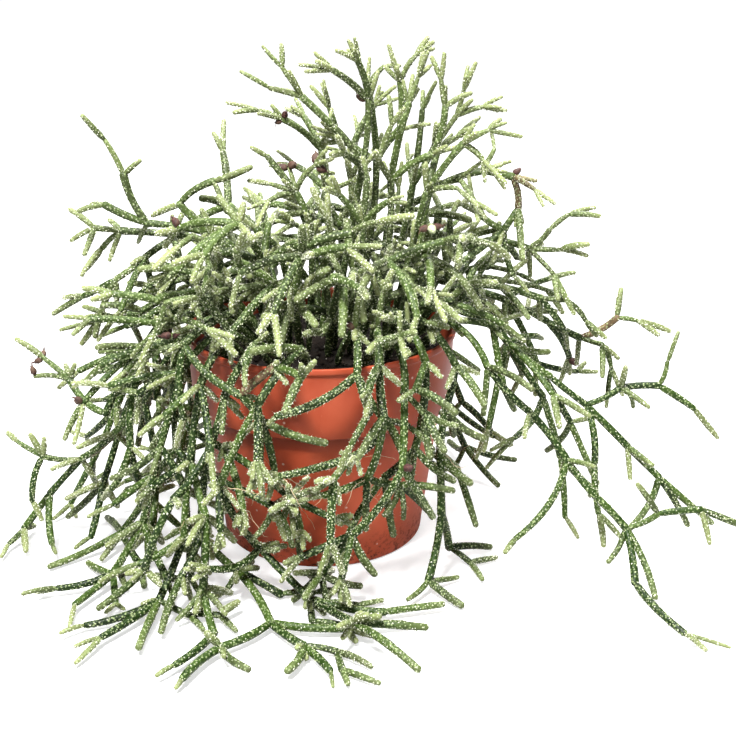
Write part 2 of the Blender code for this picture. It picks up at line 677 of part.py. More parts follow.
def grow_shoots(thicket, rng, parent, group, wanted, scale):
    """The side shoots that a knot finds room for."""
    _, low, high = SHOOTS[group]
    sag = SAG_TOP if group == "top" else SAG
    shoots = []
    for _ in range(wanted):
        if len(parent.children) >= MOST_SHOOTS:
            break
        shoot = side_shoot(thicket, rng, parent, low * scale, high * scale, sag)
        if shoot is not None:
            parent.children.append(shoot)
            thicket.add(shoot)
            shoots.append(shoot)
    return shoots


def grow():
    """Every cutting's joints, by name. The same seed gives the same plant."""
    rng = random.Random(SEED)
    thicket = Thicket()
    cuttings = {**visible_runs(), **crown_runs(), **back_runs()}
    plant = {name: grow_runs(thicket, rng, owner, runs)
             for owner, (name, runs) in enumerate(cuttings.items())}
    wave = {name: [joint for joint in joints if joint.children] for name, joints in plant.items()}
    for chance, scale in ROUNDS:
        fresh = {name: [] for name in plant}
        for name, joints in wave.items():
            group = name.split("_")[1]
            for parent in joints:
                if rng.random() > chance or not bushy(parent.end, group):
                    continue
                wanted = SHOOTS[group][0] if chance == 1.0 else 1
                if parent.end[2] < LYING_HEIGHT:
                    wanted += 1
                fresh[name] += grow_shoots(thicket, rng, parent, group, wanted, scale)
            plant[name] += fresh[name]
        wave = fresh
    return plant


# ---- Stem meshes -----------------------------------------------------------------------------

def square_end(face, centre, heading, half):
    """Turn a face to heading the short way, as a square of this half width about centre."""
    corners = [vert.co.copy() for vert in face.verts]
    middle = sum(corners, Vector()) / 4
    normal = (corners[2] - corners[0]).cross(corners[3] - corners[1])
    turn = normal.rotation_difference(Vector(heading))
    offsets = [np.array(turn @ (corner - middle)) for corner in corners]
    lead = offsets[1] - offsets[0]
    across = unit(lead - heading * (lead @ heading))
    other = np.cross(heading, across)
    for vert, offset in zip(face.verts, offsets):
        right = math.copysign(half, offset @ across)
        up = math.copysign(half, offset @ other)
        vert.co = (centre + across * right + other * up) * MM


def pull(sheet, face, centre, heading, joint):
    """Pull a face out to a new square section; gives back the end face and the four sides."""
    before = set(sheet.faces)
    end = bmesh.ops.extrude_discrete_faces(sheet, faces=[face])["faces"][0]
    sides = [side for side in sheet.faces if side not in before and side is not end]
    square_end(end, centre, heading, joint.half)
    for made in (end, *sides):
        made[sheet.faces.layers.int["joint"]] = joint.number
    return end, sides


def facing(child, grip):
    """How squarely a face looks along a child joint's start."""
    return child.leaves @ np.array(grip.normal)


def lengthen(sheet, face, joint):
    """Grow one joint out of a face, then its children out of its last knuckle."""
    points = joint.points()
    for centre, after in zip(points[1:-1], points[2:]):
        face, _ = pull(sheet, face, centre, unit(after - points[0]), joint)
    if not joint.children:
        pull(sheet, face, joint.end, joint.ahead, joint)
        return
    knuckle = joint.end - joint.ahead * joint.half * 2
    face, _ = pull(sheet, face, knuckle, joint.ahead, joint)
    front, sides = pull(sheet, face, joint.end, joint.ahead, joint)
    sheet.normal_update()
    # The pairing that looks best as a whole also keeps the shoots from crossing.
    grips = max(itertools.permutations([front, *sides], len(joint.children)),
                key=lambda picked: sum(facing(*pair) for pair in zip(joint.children, picked)))
    for child, grip in zip(joint.children, grips):
        lengthen(sheet, grip, child)


def stem_mesh(name, joints):
    """A cutting's skin: one closed body, every joint pulled out of a face of the one before."""
    root = joints[0]
    for number, joint in enumerate(joints):
        joint.number = number
    sheet = bmesh.new()
    sheet.faces.layers.int.new("joint")
    foot = root.start + np.array([0.0, 0.0, root.half])
    bmesh.ops.create_cube(sheet, size=2 * root.half * MM, matrix=Matrix.Translation(foot * MM))
    top = max(sheet.faces, key=lambda face: face.calc_center_median().z)
    lengthen(sheet, top, root)
    bmesh.ops.triangulate(sheet, faces=sheet.faces)
    sheet.normal_update()
    mesh = bpy.data.meshes.new(name)
    sheet.to_mesh(mesh)
    sheet.free()
    return mesh


# ---- Pruning ---------------------------------------------------------------------------------

class Skin:
    """A mesh's triangles, which joint each belongs to, and a tree to find where they cross."""

    def __init__(self, name, mesh, joints):
        mesh.calc_loop_triangles()
        points = np.array([vert.co for vert in mesh.vertices]) / MM
        self.name, self.joints = name, joints
        self.low, self.high = points.min(0), points.max(0)
        self.corners = [tuple(triangle.vertices) for triangle in mesh.loop_triangles]
        self.owners = [triangle.polygon_index for triangle in mesh.loop_triangles]
        if joints:
            numbers = mesh.attributes["joint"].data
            self.owners = [numbers[index].value for index in self.owners]
        self.tree = BVHTree.FromPolygons([tuple(point) for point in points], self.corners)

    def crossings(self, other):
        """Pairs of a triangle here and one of other's that cross."""
        if (self.low > other.high).any() or (other.low > self.high).any():
            return []
        pairs = self.tree.overlap(other.tree)
        if other is self:
            return [(a, b) for a, b in pairs
                    if a < b and not set(self.corners[a]) & set(self.corners[b])]
        return pairs


def prune(plant, fixed):
    """Cut off what crosses another stem or a fixed object, as a later shoot before an earlier."""
    skins = list(fixed)
    for name, joints in plant.items():
        skins.append(Skin(name, stem_mesh(name, joints), joints))
    doomed = set()
    for one, other in itertools.combinations_with_replacement(skins, 2):
        for a, b in one.crossings(other):
            pair = [(skin.joints[skin.owners[at]], skin.name)
                    for skin, at in ((one, a), (other, b)) if skin.joints]
            if pair and not any(joint in doomed for joint, _ in pair):
                last, _ = max(pair, key=lambda item: (item[0].rank, item[0].number, item[1]))
                if last.rank:
                    doomed.add(last)
    for name, joints in plant.items():
        kept = [joints[0]]
        for joint in kept:
            joint.children = [child for child in joint.children if child not in doomed]
            kept += joint.children
        plant[name] = kept
    return len(doomed)


def main():
    for old in list(bpy.data.objects):
        bpy.data.objects.remove(old)
    home = collection("potted_rhipsalis")
    cutters = collection("cutters")
    solids = [make_pot(home, cutters), make_soil(home)]
    seen = bpy.context.evaluated_depsgraph_get()
    fixed = [Skin(solid.name, solid.evaluated_get(seen).to_mesh(), None) for solid in solids]
    plant = grow()
    while prune(plant, fixed):
        pass
    for name, joints in plant.items():
        mesh = stem_mesh(name, joints)
        mesh.attributes.remove(mesh.attributes["joint"])
        mesh.materials.append(material(f"{name}_skin", STEM_COLOUR, 0.55))
        mesh.shade_smooth()
        home.objects.link(bpy.data.objects.new(name, mesh))


main()
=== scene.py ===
"""A potted rhipsalis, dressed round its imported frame: pot, soil, stems, dry buds and roots."""
import json
import math
import random

import bmesh
import bpy
import numpy as np
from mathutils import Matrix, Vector

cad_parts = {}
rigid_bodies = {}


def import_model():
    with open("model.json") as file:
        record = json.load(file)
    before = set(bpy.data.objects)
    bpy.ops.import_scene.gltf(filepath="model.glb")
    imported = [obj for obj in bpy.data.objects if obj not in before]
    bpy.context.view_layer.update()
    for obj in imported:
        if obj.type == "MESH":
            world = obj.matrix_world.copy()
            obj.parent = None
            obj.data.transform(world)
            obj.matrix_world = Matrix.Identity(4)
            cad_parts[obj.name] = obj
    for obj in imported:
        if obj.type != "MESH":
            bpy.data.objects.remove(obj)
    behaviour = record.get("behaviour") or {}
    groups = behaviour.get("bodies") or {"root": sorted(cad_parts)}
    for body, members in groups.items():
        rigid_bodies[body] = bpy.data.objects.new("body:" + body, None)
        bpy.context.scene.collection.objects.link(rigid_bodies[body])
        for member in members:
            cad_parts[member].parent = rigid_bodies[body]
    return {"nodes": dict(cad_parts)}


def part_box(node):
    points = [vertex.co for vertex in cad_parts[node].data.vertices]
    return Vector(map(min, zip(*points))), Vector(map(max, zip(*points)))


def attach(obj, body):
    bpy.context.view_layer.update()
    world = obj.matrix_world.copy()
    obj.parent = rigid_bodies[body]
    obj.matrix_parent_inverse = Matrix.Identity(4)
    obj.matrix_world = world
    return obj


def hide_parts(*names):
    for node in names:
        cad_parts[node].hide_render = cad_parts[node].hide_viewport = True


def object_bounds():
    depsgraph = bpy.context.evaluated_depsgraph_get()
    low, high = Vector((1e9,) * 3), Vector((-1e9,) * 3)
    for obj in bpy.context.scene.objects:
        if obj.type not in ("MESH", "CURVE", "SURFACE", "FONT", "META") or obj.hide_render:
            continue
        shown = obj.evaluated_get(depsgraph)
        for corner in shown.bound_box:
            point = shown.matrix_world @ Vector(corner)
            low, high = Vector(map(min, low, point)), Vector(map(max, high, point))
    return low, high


for old in list(bpy.data.objects):
    bpy.data.objects.remove(old)
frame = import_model()
cad_low, cad_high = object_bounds()


# ==== Pot =====================================================================================
# A grower's pot, moulded in one thin shot of terracotta-coloured polypropylene. Its deep collar
# stiffens the rim and lets empty pots nest; the lip is rolled and eight holes drain the base.

MM = 0.001               # sizes are in mm until a mesh is made
POT_WALL = 1.2
POT_FLOOR = 1.3
LIP_OUT = 0.9            # how far the rolled lip stands out from the rim
LIP_DEEP = 2.4
COLLAR_HEIGHT = 32.0
COLLAR_FLARE = 1.6       # how much further out the rim is than the collar's foot
COLLAR_STEP = 3.4        # from the collar's foot in to the wall
WALL_TAPER = 8.7         # from the top of the wall in to the base
FOOT_FLAT = 3.0          # width of the ring that the pot stands on
FOOT_RING = 4.2          # and with its inner slope
FOOT_RISE = 0.35         # how far the rest of the underside is above the ring
GATE_RADIUS = 7.0        # the flat spot at its middle, where the mould was filled
POT_SIDES = 112
LONGEST_BAND = 9.0       # of the turned wall
OVAL = 0.22              # how far the rim is out of round
TRIPLE = 0.10            # and how far it bows between three points
DRAIN_HOLES = 8
DRAIN_RING = 34.0
DRAIN_RADIUS = 4.0
DRAIN_SIDES = 32
DRILL_LENGTH = 8.0       # half of it below the base
POT_SHARP = math.radians(38)    # edges that turn more than this are crisp

pot_low, pot_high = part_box("pot")
pot_height = round(pot_high.z / MM, 2)
lip_radius = round((pot_high.x - pot_low.x) / 2 / MM, 2)
rim_radius = round(lip_radius - LIP_OUT, 2)
lip_foot = pot_height - LIP_DEEP
collar_foot = pot_height - COLLAR_HEIGHT
collar_foot_radius = round(rim_radius - COLLAR_FLARE, 2)
wall_top_radius = round(collar_foot_radius - COLLAR_STEP, 2)
base_radius = round(wall_top_radius - WALL_TAPER, 2)

# Half of the pot's section: radius, height and how much each corner is rounded. It runs from
# the middle of the floor up the inside, over the lip, and down the outside to the underside.
pot_section = [
    (0.0, POT_FLOOR, 0),
    (base_radius - POT_WALL, POT_FLOOR, 0),
    (wall_top_radius - POT_WALL, collar_foot + 0.6, 2.0),
    (collar_foot_radius - POT_WALL, collar_foot + 3.4, 1.0),
    (rim_radius - POT_WALL, pot_height - 0.3, 1.0),
    (rim_radius - POT_WALL * 0.4, pot_height, 0.5),
    (lip_radius, pot_height, 0.3),
    (lip_radius, lip_foot, 0.9),
    (rim_radius - 0.12, lip_foot - 0.8, 0.8),
    (collar_foot_radius + 0.15, collar_foot - 0.1, 0.5),
    (wall_top_radius + 0.1, collar_foot + 0.1, 0.7),
    (wall_top_radius - 0.3, collar_foot - 3.0, 0.6),
    (base_radius + 0.45, 5.0, 1.2),
    (base_radius, 0.0, 1.5),
    (base_radius - FOOT_FLAT, 0.0, 1.5),
    (base_radius - FOOT_RING, FOOT_RISE, 0.5),
    (GATE_RADIUS + 1.0, FOOT_RISE, 0.5),
    (GATE_RADIUS, 0.0, 0.5),
    (0.0, 0.0, 0),
]


ARC_MOST = 0.49          # how much of a side its rounding may take up


def arc(before, corner, after, size, points=5):
    """Points that round a corner of a section, by about this size."""
    before, corner, after = (np.array(p, dtype=float) for p in (before, corner, after))
    a = corner + (before - corner) * min(size / np.linalg.norm(before - corner), ARC_MOST)
    b = corner + (after - corner) * min(size / np.linalg.norm(after - corner), ARC_MOST)
    t = np.linspace(0, 1, points)[:, None]
    return [tuple(p) for p in (1 - t) ** 2 * a + 2 * t * (1 - t) * corner + t ** 2 * b]


def rounded(section):
    """The outline of a section with its inner corners rounded."""
    corners = [corner[:2] for corner in section]
    made = [corners[0]]
    for before, corner, after, (_, _, size) in zip(corners, corners[1:], corners[2:], section[1:]):
        made += arc(before, corner, after, size) if size else [corner]
    return made + [corners[-1]]


def split_long(outline, longest):
    """The same outline with its long runs cut into shorter ones."""
    made = [outline[0]]
    for a, b in zip(outline, outline[1:]):
        count = max(1, math.ceil(math.dist(a, b) / longest))
        made += [tuple(np.array(a) + (np.array(b) - np.array(a)) * i / count)
                 for i in range(1, count + 1)]
    return made


def placed(name, mesh):
    """An object in the scene for a mesh."""
    made = bpy.data.objects.new(name, mesh)
    bpy.context.scene.collection.objects.link(made)
    return made


def shaped(name, sheet):
    """An object in the scene for a finished bmesh."""
    mesh = bpy.data.meshes.new(name)
    sheet.to_mesh(mesh)
    sheet.free()
    return placed(name, mesh)


def turned(name, outline, sides, wobble):
    """A closed turned piece. Its outline, (radius, height), starts and ends on the axis."""
    sheet = bmesh.new()
    rings = []
    for radius, height in outline:
        if radius < 1e-6:
            rings.append([sheet.verts.new((0, 0, height * MM))])
            continue
        ring = []
        for i in range(sides):
            angle = 2 * math.pi * i / sides
            out, up = wobble(radius, height, angle)
            spot = (out * MM * math.cos(angle), out * MM * math.sin(angle), up * MM)
            ring.append(sheet.verts.new(spot))
        rings.append(ring)
    for one, other in zip(rings, rings[1:]):
        for i in range(sides):
            j = (i + 1) % sides
            corners = [one[i % len(one)], one[j % len(one)],
                       other[j % len(other)], other[i % len(other)]]
            sheet.faces.new(list(dict.fromkeys(corners)))
    bmesh.ops.recalc_face_normals(sheet, faces=sheet.faces)
    return shaped(name, sheet)


def moulded(radius, height, angle):
    """A thin wall is never quite round: it bows a little, most at the rim."""
    bow = OVAL * math.sin(2 * angle + 0.6) + TRIPLE * math.sin(3 * angle + 2.0)
    return radius + bow * (height / pot_height) ** 2, height


def drill(piece, centres, radius, depth, sides):
    """Upright round holes through a piece at these places."""
    drills = bpy.data.collections.new("drills")
    for centre in centres:
        bpy.ops.mesh.primitive_cylinder_add(vertices=sides, radius=radius, depth=depth,
                                            location=centre)
        drills.objects.link(bpy.context.object)
    cut = piece.modifiers.new("holes", "BOOLEAN")
    cut.operand_type = "COLLECTION"
    cut.collection = drills
    cut.solver = "EXACT"
    bpy.context.view_layer.update()
    seen = bpy.context.evaluated_depsgraph_get()
    drilled = bpy.data.meshes.new_from_object(piece.evaluated_get(seen))
    drilled.materials.clear()
    piece.modifiers.clear()
    piece.data = drilled
    for old in list(drills.objects):
        bpy.data.objects.remove(old)
    bpy.data.collections.remove(drills)


pot = turned("pot_shell", split_long(rounded(pot_section), LONGEST_BAND), POT_SIDES, moulded)
drain_angles = [2 * math.pi * i / DRAIN_HOLES for i in range(DRAIN_HOLES)]
drill(pot, [(DRAIN_RING * MM * math.cos(angle), DRAIN_RING * MM * math.sin(angle), 0.0)
            for angle in drain_angles], DRAIN_RADIUS * MM, DRILL_LENGTH * MM, DRAIN_SIDES)
pot.data.shade_smooth()
pot.data.set_sharp_from_angle(angle=POT_SHARP)


def material(name):
    """A new node material: itself, its tree, its Principled shader and its place coordinates."""
    made = bpy.data.materials.new(name)
    made.use_nodes = True
    tree = made.node_tree
    where = tree.nodes.new("ShaderNodeTexCoord").outputs["Object"]
    return made, tree, tree.nodes["Principled BSDF"], where


def feed(tree, socket, given):
    """Links another socket to this one, or sets it to a number or a linear colour."""
    if isinstance(given, bpy.types.NodeSocket):
        tree.links.new(given, socket)
    else:
        socket.default_value = (*given, 1.0) if isinstance(given, tuple) else given


def noise(tree, where, scale, detail=3.0, roughness=0.5, stretch=None):
    """A cloudy pattern with this many waves in a metre."""
    node = tree.nodes.new("ShaderNodeTexNoise")
    for key, given in (("Scale", scale), ("Detail", detail), ("Roughness", roughness)):
        feed(tree, node.inputs[key], given)
    if stretch:
        mapping = tree.nodes.new("ShaderNodeMapping")
        mapping.inputs["Scale"].default_value = stretch
        feed(tree, mapping.inputs["Vector"], where)
        where = mapping.outputs["Vector"]
    feed(tree, node.inputs["Vector"], where)
    return node.outputs["Fac"]


def cells(tree, where, scale):
    """A pattern of cells: the distance from each one's middle, and a colour of its own."""
    node = tree.nodes.new("ShaderNodeTexVoronoi")
    node.inputs["Scale"].default_value = scale
    feed(tree, node.inputs["Vector"], where)
    return node.outputs["Distance"], node.outputs["Color"]


def part_of(tree, kind, value, name):
    """One part of a place or a colour. kind is XYZ or Color."""
    node = tree.nodes.new("ShaderNodeSeparate" + kind)
    feed(tree, node.inputs[0], value)
    return node.outputs[name]


def toned(tree, value, stops):
    """A value as a colour, between (position, linear colour) stops."""
    ramp = tree.nodes.new("ShaderNodeValToRGB")
    elements = ramp.color_ramp.elements
    while len(elements) < len(stops):
        elements.new(0.5)
    for element, (position, colour) in zip(elements, stops):
        element.position = position
        element.color = (*colour, 1.0)
    feed(tree, ramp.inputs["Fac"], value)
    return ramp.outputs["Color"]


def mixed(tree, amount, one, other):
    """One colour turning into another by an amount."""
    node = tree.nodes.new("ShaderNodeMix")
    node.data_type = "RGBA"
    for key, given in (("Factor", amount), ("A", one), ("B", other)):
        feed(tree, node.inputs[key], given)
    return node.outputs["Result"]


def ranged(tree, value, low, high, to_low=0.0, to_high=1.0):
    """A value mapped from one range to another, clamped."""
    node = tree.nodes.new("ShaderNodeMapRange")
    for key, given in zip(("Value", "From Min", "From Max", "To Min", "To Max"),
                          (value, low, high, to_low, to_high)):
        feed(tree, node.inputs[key], given)
    return node.outputs["Result"]


def maths(tree, kind, one, other):
    """Two values added, multiplied and so on."""
    node = tree.nodes.new("ShaderNodeMath")
    node.operation = kind
    for socket, given in zip(node.inputs, (one, other)):
        feed(tree, socket, given)
    return node.outputs["Value"]


def times(tree, one, other):
    """Two values multiplied."""
    return maths(tree, "MULTIPLY", one, other)


def plus(tree, one, other):
    """Two values added."""
    return maths(tree, "ADD", one, other)


def coat(tree, shader, colour, roughness, relief, depth, strength):
    """Puts a colour, a roughness and a bump pattern of this depth in metres on a shader."""
    node = tree.nodes.new("ShaderNodeBump")
    for key, given in (("Strength", strength), ("Distance", depth), ("Height", relief)):
        feed(tree, node.inputs[key], given)
    for key, given in (("Base Color", colour), ("Roughness", roughness),
                       ("Normal", node.outputs["Normal"])):
        feed(tree, shader.inputs[key], given)


# Painted light and shade: the wall and the collar have lit and shaded copies of one terracotta,
# the wall's painted paler as painted light, the collar's darker as painted shade from the stems
# over it.
LIT_WALL_TONES = [(0.30, (0.430, 0.066, 0.025)), (0.72, (0.545, 0.096, 0.041))]
SHADED_COLLAR_TONES = [(0.30, (0.300, 0.044, 0.016)), (0.72, (0.385, 0.066, 0.027))]
FLOWED = (0.520, 0.115, 0.052)       # paler streaks where the plastic flowed
SCUFFED = (0.52, 0.20, 0.11)
DUST = (0.72, 0.50, 0.40)
DIRT = (0.045, 0.022, 0.014)
# painted shadow: the dark band on the wall under the collar's overhang
PAINTED_COLLAR_SHADOW = (0.170, 0.026, 0.011)
SPLASH_HEIGHT = 17.0                 # how far up the wall dirt has splashed
COLLAR_SHADOW_DEEP = 8.0                     # how far down from the collar the painted shadow reaches

pot_plastic, tree, shader, where = material("terracotta_plastic")
height = part_of(tree, "XYZ", where, "Z")
cloud = noise(tree, where, 38, 4, 0.6)
flow = noise(tree, where, 60, 3, 0.55, (1.0, 1.0, 0.22))
scuff = noise(tree, where, 210, 5, 0.7, (1.0, 1.0, 0.5))
# The collar takes the shaded copy, painted shade; the wall below it takes the lit one, painted
# light.
shaded_collar = ranged(tree, height, (collar_foot - 1) * MM, (collar_foot + 1) * MM)
body = mixed(tree, shaded_collar, toned(tree, cloud, LIT_WALL_TONES), toned(tree, cloud, SHADED_COLLAR_TONES))
body = mixed(tree, ranged(tree, flow, 0.50, 0.78, 0.0, 0.35), body, FLOWED)
body = mixed(tree, ranged(tree, scuff, 0.64, 0.74, 0.0, 0.35), body, SCUFFED)

away, own_colour = cells(tree, where, 150)
in_few = ranged(tree, part_of(tree, "Color", own_colour, "Red"), 0.66, 0.70)
dust = times(tree, ranged(tree, away, 0.11, 0.06), in_few)
body = mixed(tree, times(tree, dust, 0.75), body, DUST)

low_down = ranged(tree, height, SPLASH_HEIGHT * MM, 0.0)
soiled = times(tree, low_down, ranged(tree, noise(tree, where, 430, 5, 0.7), 0.50, 0.60))
body = mixed(tree, times(tree, soiled, 0.85), body, DIRT)

# Painted shadow: a dark band on the wall just under the collar, darkest at the collar's foot,
# where its overhang casts shade.
collar_shadow_fade = ranged(tree, height, (collar_foot - COLLAR_SHADOW_DEEP) * MM, (collar_foot - 1) * MM, 0.0, 0.8)
under_collar = ranged(tree, height, (collar_foot + 0.6) * MM, (collar_foot + 0.2) * MM)
body = mixed(tree, times(tree, collar_shadow_fade, under_collar), body, PAINTED_COLLAR_SHADOW)

rough = plus(tree, ranged(tree, cloud, 0.3, 0.7, 0.40, 0.52), times(tree, soiled, 0.35))
ripple = plus(tree, flow, times(tree, noise(tree, where, 900, 2), 0.16))
ripple = plus(tree, ripple, times(tree, noise(tree, where, 2600, 2), 0.05))
shader.inputs["Specular IOR Level"].default_value = 0.26
coat(tree, shader, body, rough, ripple, 0.00035, 0.6)
pot.data.materials.append(pot_plastic)
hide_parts("pot")
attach(pot, "root")


# ==== Soil ====================================================================================
# Damp peat mix with crumbs of bark and coir, and a few grains of perlite. It fills the pot to a
# finger's breadth below the rim, where the cuttings are pushed in; loose crumbs lie on its top.

SOIL_LEVEL = 90.0
SOIL_EDGE_DROP = 2.0     # how far it has sunk at the wall
SUNK_WIDTH = 9.0         # and over what width
SOIL_RINGS = 40
SOIL_SIDES = 120
SOIL_FOOT = 1.65         # it rests on the pot's floor, with a little air
HUMPS = 90
HUMPS_REACH = 50
HUMP_WIDTHS = (3, 11)
HUMP_HIGH = 0.9
HUMPS_BELOW = 0.7        # they start from this far below the level
HUMPS_OVER = 1.6         # and rise this far above it at most
CLODS = 0.35             # height of the small clods between them
CRUMBS = 430
CRUMB_SIZES = (0.5, 2.2)
PERLITE_GRAINS = 46
PERLITE_SIZES = (0.35, 0.85)
CRUMB_FLAT = 0.7         # height of a crumb to its width
CRUMB_UP = 0.25          # how far its middle is above the soil, by its size
CRUMBS_CLEAR = 2.5       # how far crumbs keep from the pot's wall
SOIL_SEED = 5

soil_low, soil_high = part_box("soil")
soil_radius = (soil_high.x - soil_low.x) / 2 / MM
soil_rng = random.Random(SOIL_SEED)
humps = [(soil_rng.uniform(-HUMPS_REACH, HUMPS_REACH), soil_rng.uniform(-HUMPS_REACH, HUMPS_REACH),
          soil_rng.uniform(*HUMP_WIDTHS), soil_rng.uniform(-HUMP_HIGH, HUMP_HIGH))
         for _ in range(HUMPS)]


def soil_top(x, y):
    """Height of the soil at a place: humps and hollows, sunk where it meets the wall."""
    up = SOIL_LEVEL - HUMPS_BELOW
    for hump_x, hump_y, width, height in humps:
        up += height * math.exp(-((x - hump_x) ** 2 + (y - hump_y) ** 2) / (2 * width * width))
    near_wall = max(0.0, (math.hypot(x, y) - soil_radius + SUNK_WIDTH) / SUNK_WIDTH)
    return min(up - SOIL_EDGE_DROP * near_wall ** 2, SOIL_LEVEL + HUMPS_OVER)


def crumbled(radius, height, angle):
    """The points of the soil's top, raised to its uneven surface."""
    if height < SOIL_LEVEL - SOIL_EDGE_DROP - 0.01:
        return radius, height
    top = soil_top(radius * math.cos(angle), radius * math.sin(angle))
    return radius, top + CLODS * math.sin(radius * 2.1 + angle * 31)


# Half of the plug's outline: its flat top from the middle, then down the inside of the pot.
soil_outline = [(soil_radius * i / SOIL_RINGS, SOIL_LEVEL) for i in range(SOIL_RINGS)] + [
    (soil_radius, SOIL_LEVEL - SOIL_EDGE_DROP),
    (soil_radius - 1.0, 71.0),
    (wall_top_radius - POT_WALL - 0.5, collar_foot + 0.4),
    (base_radius - POT_WALL - 0.6, SOIL_FOOT),
    (0.0, SOIL_FOOT)]
soil = turned("soil_bed", soil_outline, SOIL_SIDES, crumbled)
soil.data.shade_smooth()


CRUMB_SPANS = ((0.7, 1.3), (0.6, 1.2), (0.6, 1.1))    # its width, depth and height, by its size
CRUMB_LUMPS = (0.75, 1.2)
CRUMB_SMALLER = 2.2      # the higher this is, the more of them are small


def crumb(sheet, place, size, rng):
    """A lumpy crumb: a small ball with its points pushed about."""
    made = bmesh.ops.create_icosphere(sheet, subdivisions=1, radius=1.0)["verts"]
    shape = [rng.uniform(*span) for span in CRUMB_SPANS]
    shape[2] *= CRUMB_FLAT
    turn = rng.uniform(0, math.pi)
    for vert in made:
        x, y, z = (c * s * size * rng.uniform(*CRUMB_LUMPS) for c, s in zip(vert.co, shape))
        x, y = x * math.cos(turn) - y * math.sin(turn), x * math.sin(turn) + y * math.cos(turn)
        vert.co = Vector((place[0] + x, place[1] + y, place[2] + z)) * MM


def strewn(name, count, sizes, rng, made_of):
    """Crumbs strewn on the soil, each sunk a little into it."""
    sheet = bmesh.new()
    for _ in range(count):
        out = (soil_radius - CRUMBS_CLEAR) * math.sqrt(rng.random())
        angle = rng.uniform(0, 2 * math.pi)
        x, y = out * math.cos(angle), out * math.sin(angle)
        size = sizes[0] + (sizes[1] - sizes[0]) * rng.random() ** CRUMB_SMALLER
        crumb(sheet, (x, y, soil_top(x, y) + size * CRUMB_UP), size, rng)
    made = shaped(name, sheet)
    made.data.materials.append(made_of)
    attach(made, "root")


PEAT_TONES = [(0.30, (0.0065, 0.0045, 0.0035)), (0.52, (0.020, 0.0135, 0.010)),
              (0.80, (0.052, 0.034, 0.023))]
FIBRE = (0.080, 0.050, 0.032)

peat, tree, shader, where = material("damp_peat")
clods = noise(tree, where, 320, 5, 0.65)
fibres = noise(tree, where, 1400, 4, 0.7, (1.0, 0.35, 1.0))
fibrous = ranged(tree, fibres, 0.60, 0.75, 0.0, 0.5)
dark = mixed(tree, fibrous, toned(tree, clods, PEAT_TONES), FIBRE)
lumps = plus(tree, clods, times(tree, fibres, 0.35))
shader.inputs["Specular IOR Level"].default_value = 0.25
coat(tree, shader, dark, ranged(tree, clods, 0.3, 0.8, 0.72, 0.95), lumps, 0.0012, 0.9)
soil.data.materials.append(peat)
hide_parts("soil")
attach(soil, "root")

perlite, tree, shader, where = material("perlite")
pits = noise(tree, where, 1500, 4, 0.7)
chalky = toned(tree, pits, [(0.3, (0.30, 0.27, 0.23)), (0.7, (0.62, 0.58, 0.52))])
coat(tree, shader, chalky, ranged(tree, pits, 0.3, 0.7, 0.75, 0.95), pits, 0.0004, 0.8)

strewn("soil_crumbs", CRUMBS, CRUMB_SIZES, soil_rng, peat)
strewn("perlite_grains", PERLITE_GRAINS, PERLITE_SIZES, soil_rng, perlite)


# ==== Stems ===================================================================================
# Living cuttings of a hairy rhipsalis, each rooted in the soil: a chain of slim green joints
# that forks at its knots. Every joint is set all over with woolly cream areoles and bristles.

# The core that the frame has for a joint, which is one length of stem between two knots.
STEM_HALF = 1.5          # half its width
YOUNG_HALF = 1.1         # the same for a young joint, one that is short
YOUNG_LENGTH = 17.0
BENT_LENGTH = 34.0       # a joint longer than this has a bend in its middle
CORNER = 1.42            # a square core's corner, in half widths
STEM_GAP = 0.9           # air between two cuttings
KIN_GAP = 0.3            # and within one
FIT_GAP = 0.3            # air between a core and the soil
FACET_SLACK = 0.2        # more height for a core's flats
RIM_AIR = 1.0            # more air inside the rim
SURFACE_AIR = 0.1        # air under a stem that lies on the surface
LYING_HEIGHT = 14.0      # knots lower than this lie on the surface
LOWEST_LINE = STEM_HALF * CORNER + FACET_SLACK


def wall_radius(height):
    """Outer radius of the pot at a height."""
    if height > collar_foot:
        rise = min((height - collar_foot) / COLLAR_HEIGHT, 1.0)
        return collar_foot_radius + (rim_radius - collar_foot_radius) * rise
    rise = max(height, 0.0) / collar_foot
    return base_radius + (wall_top_radius - base_radius) * rise


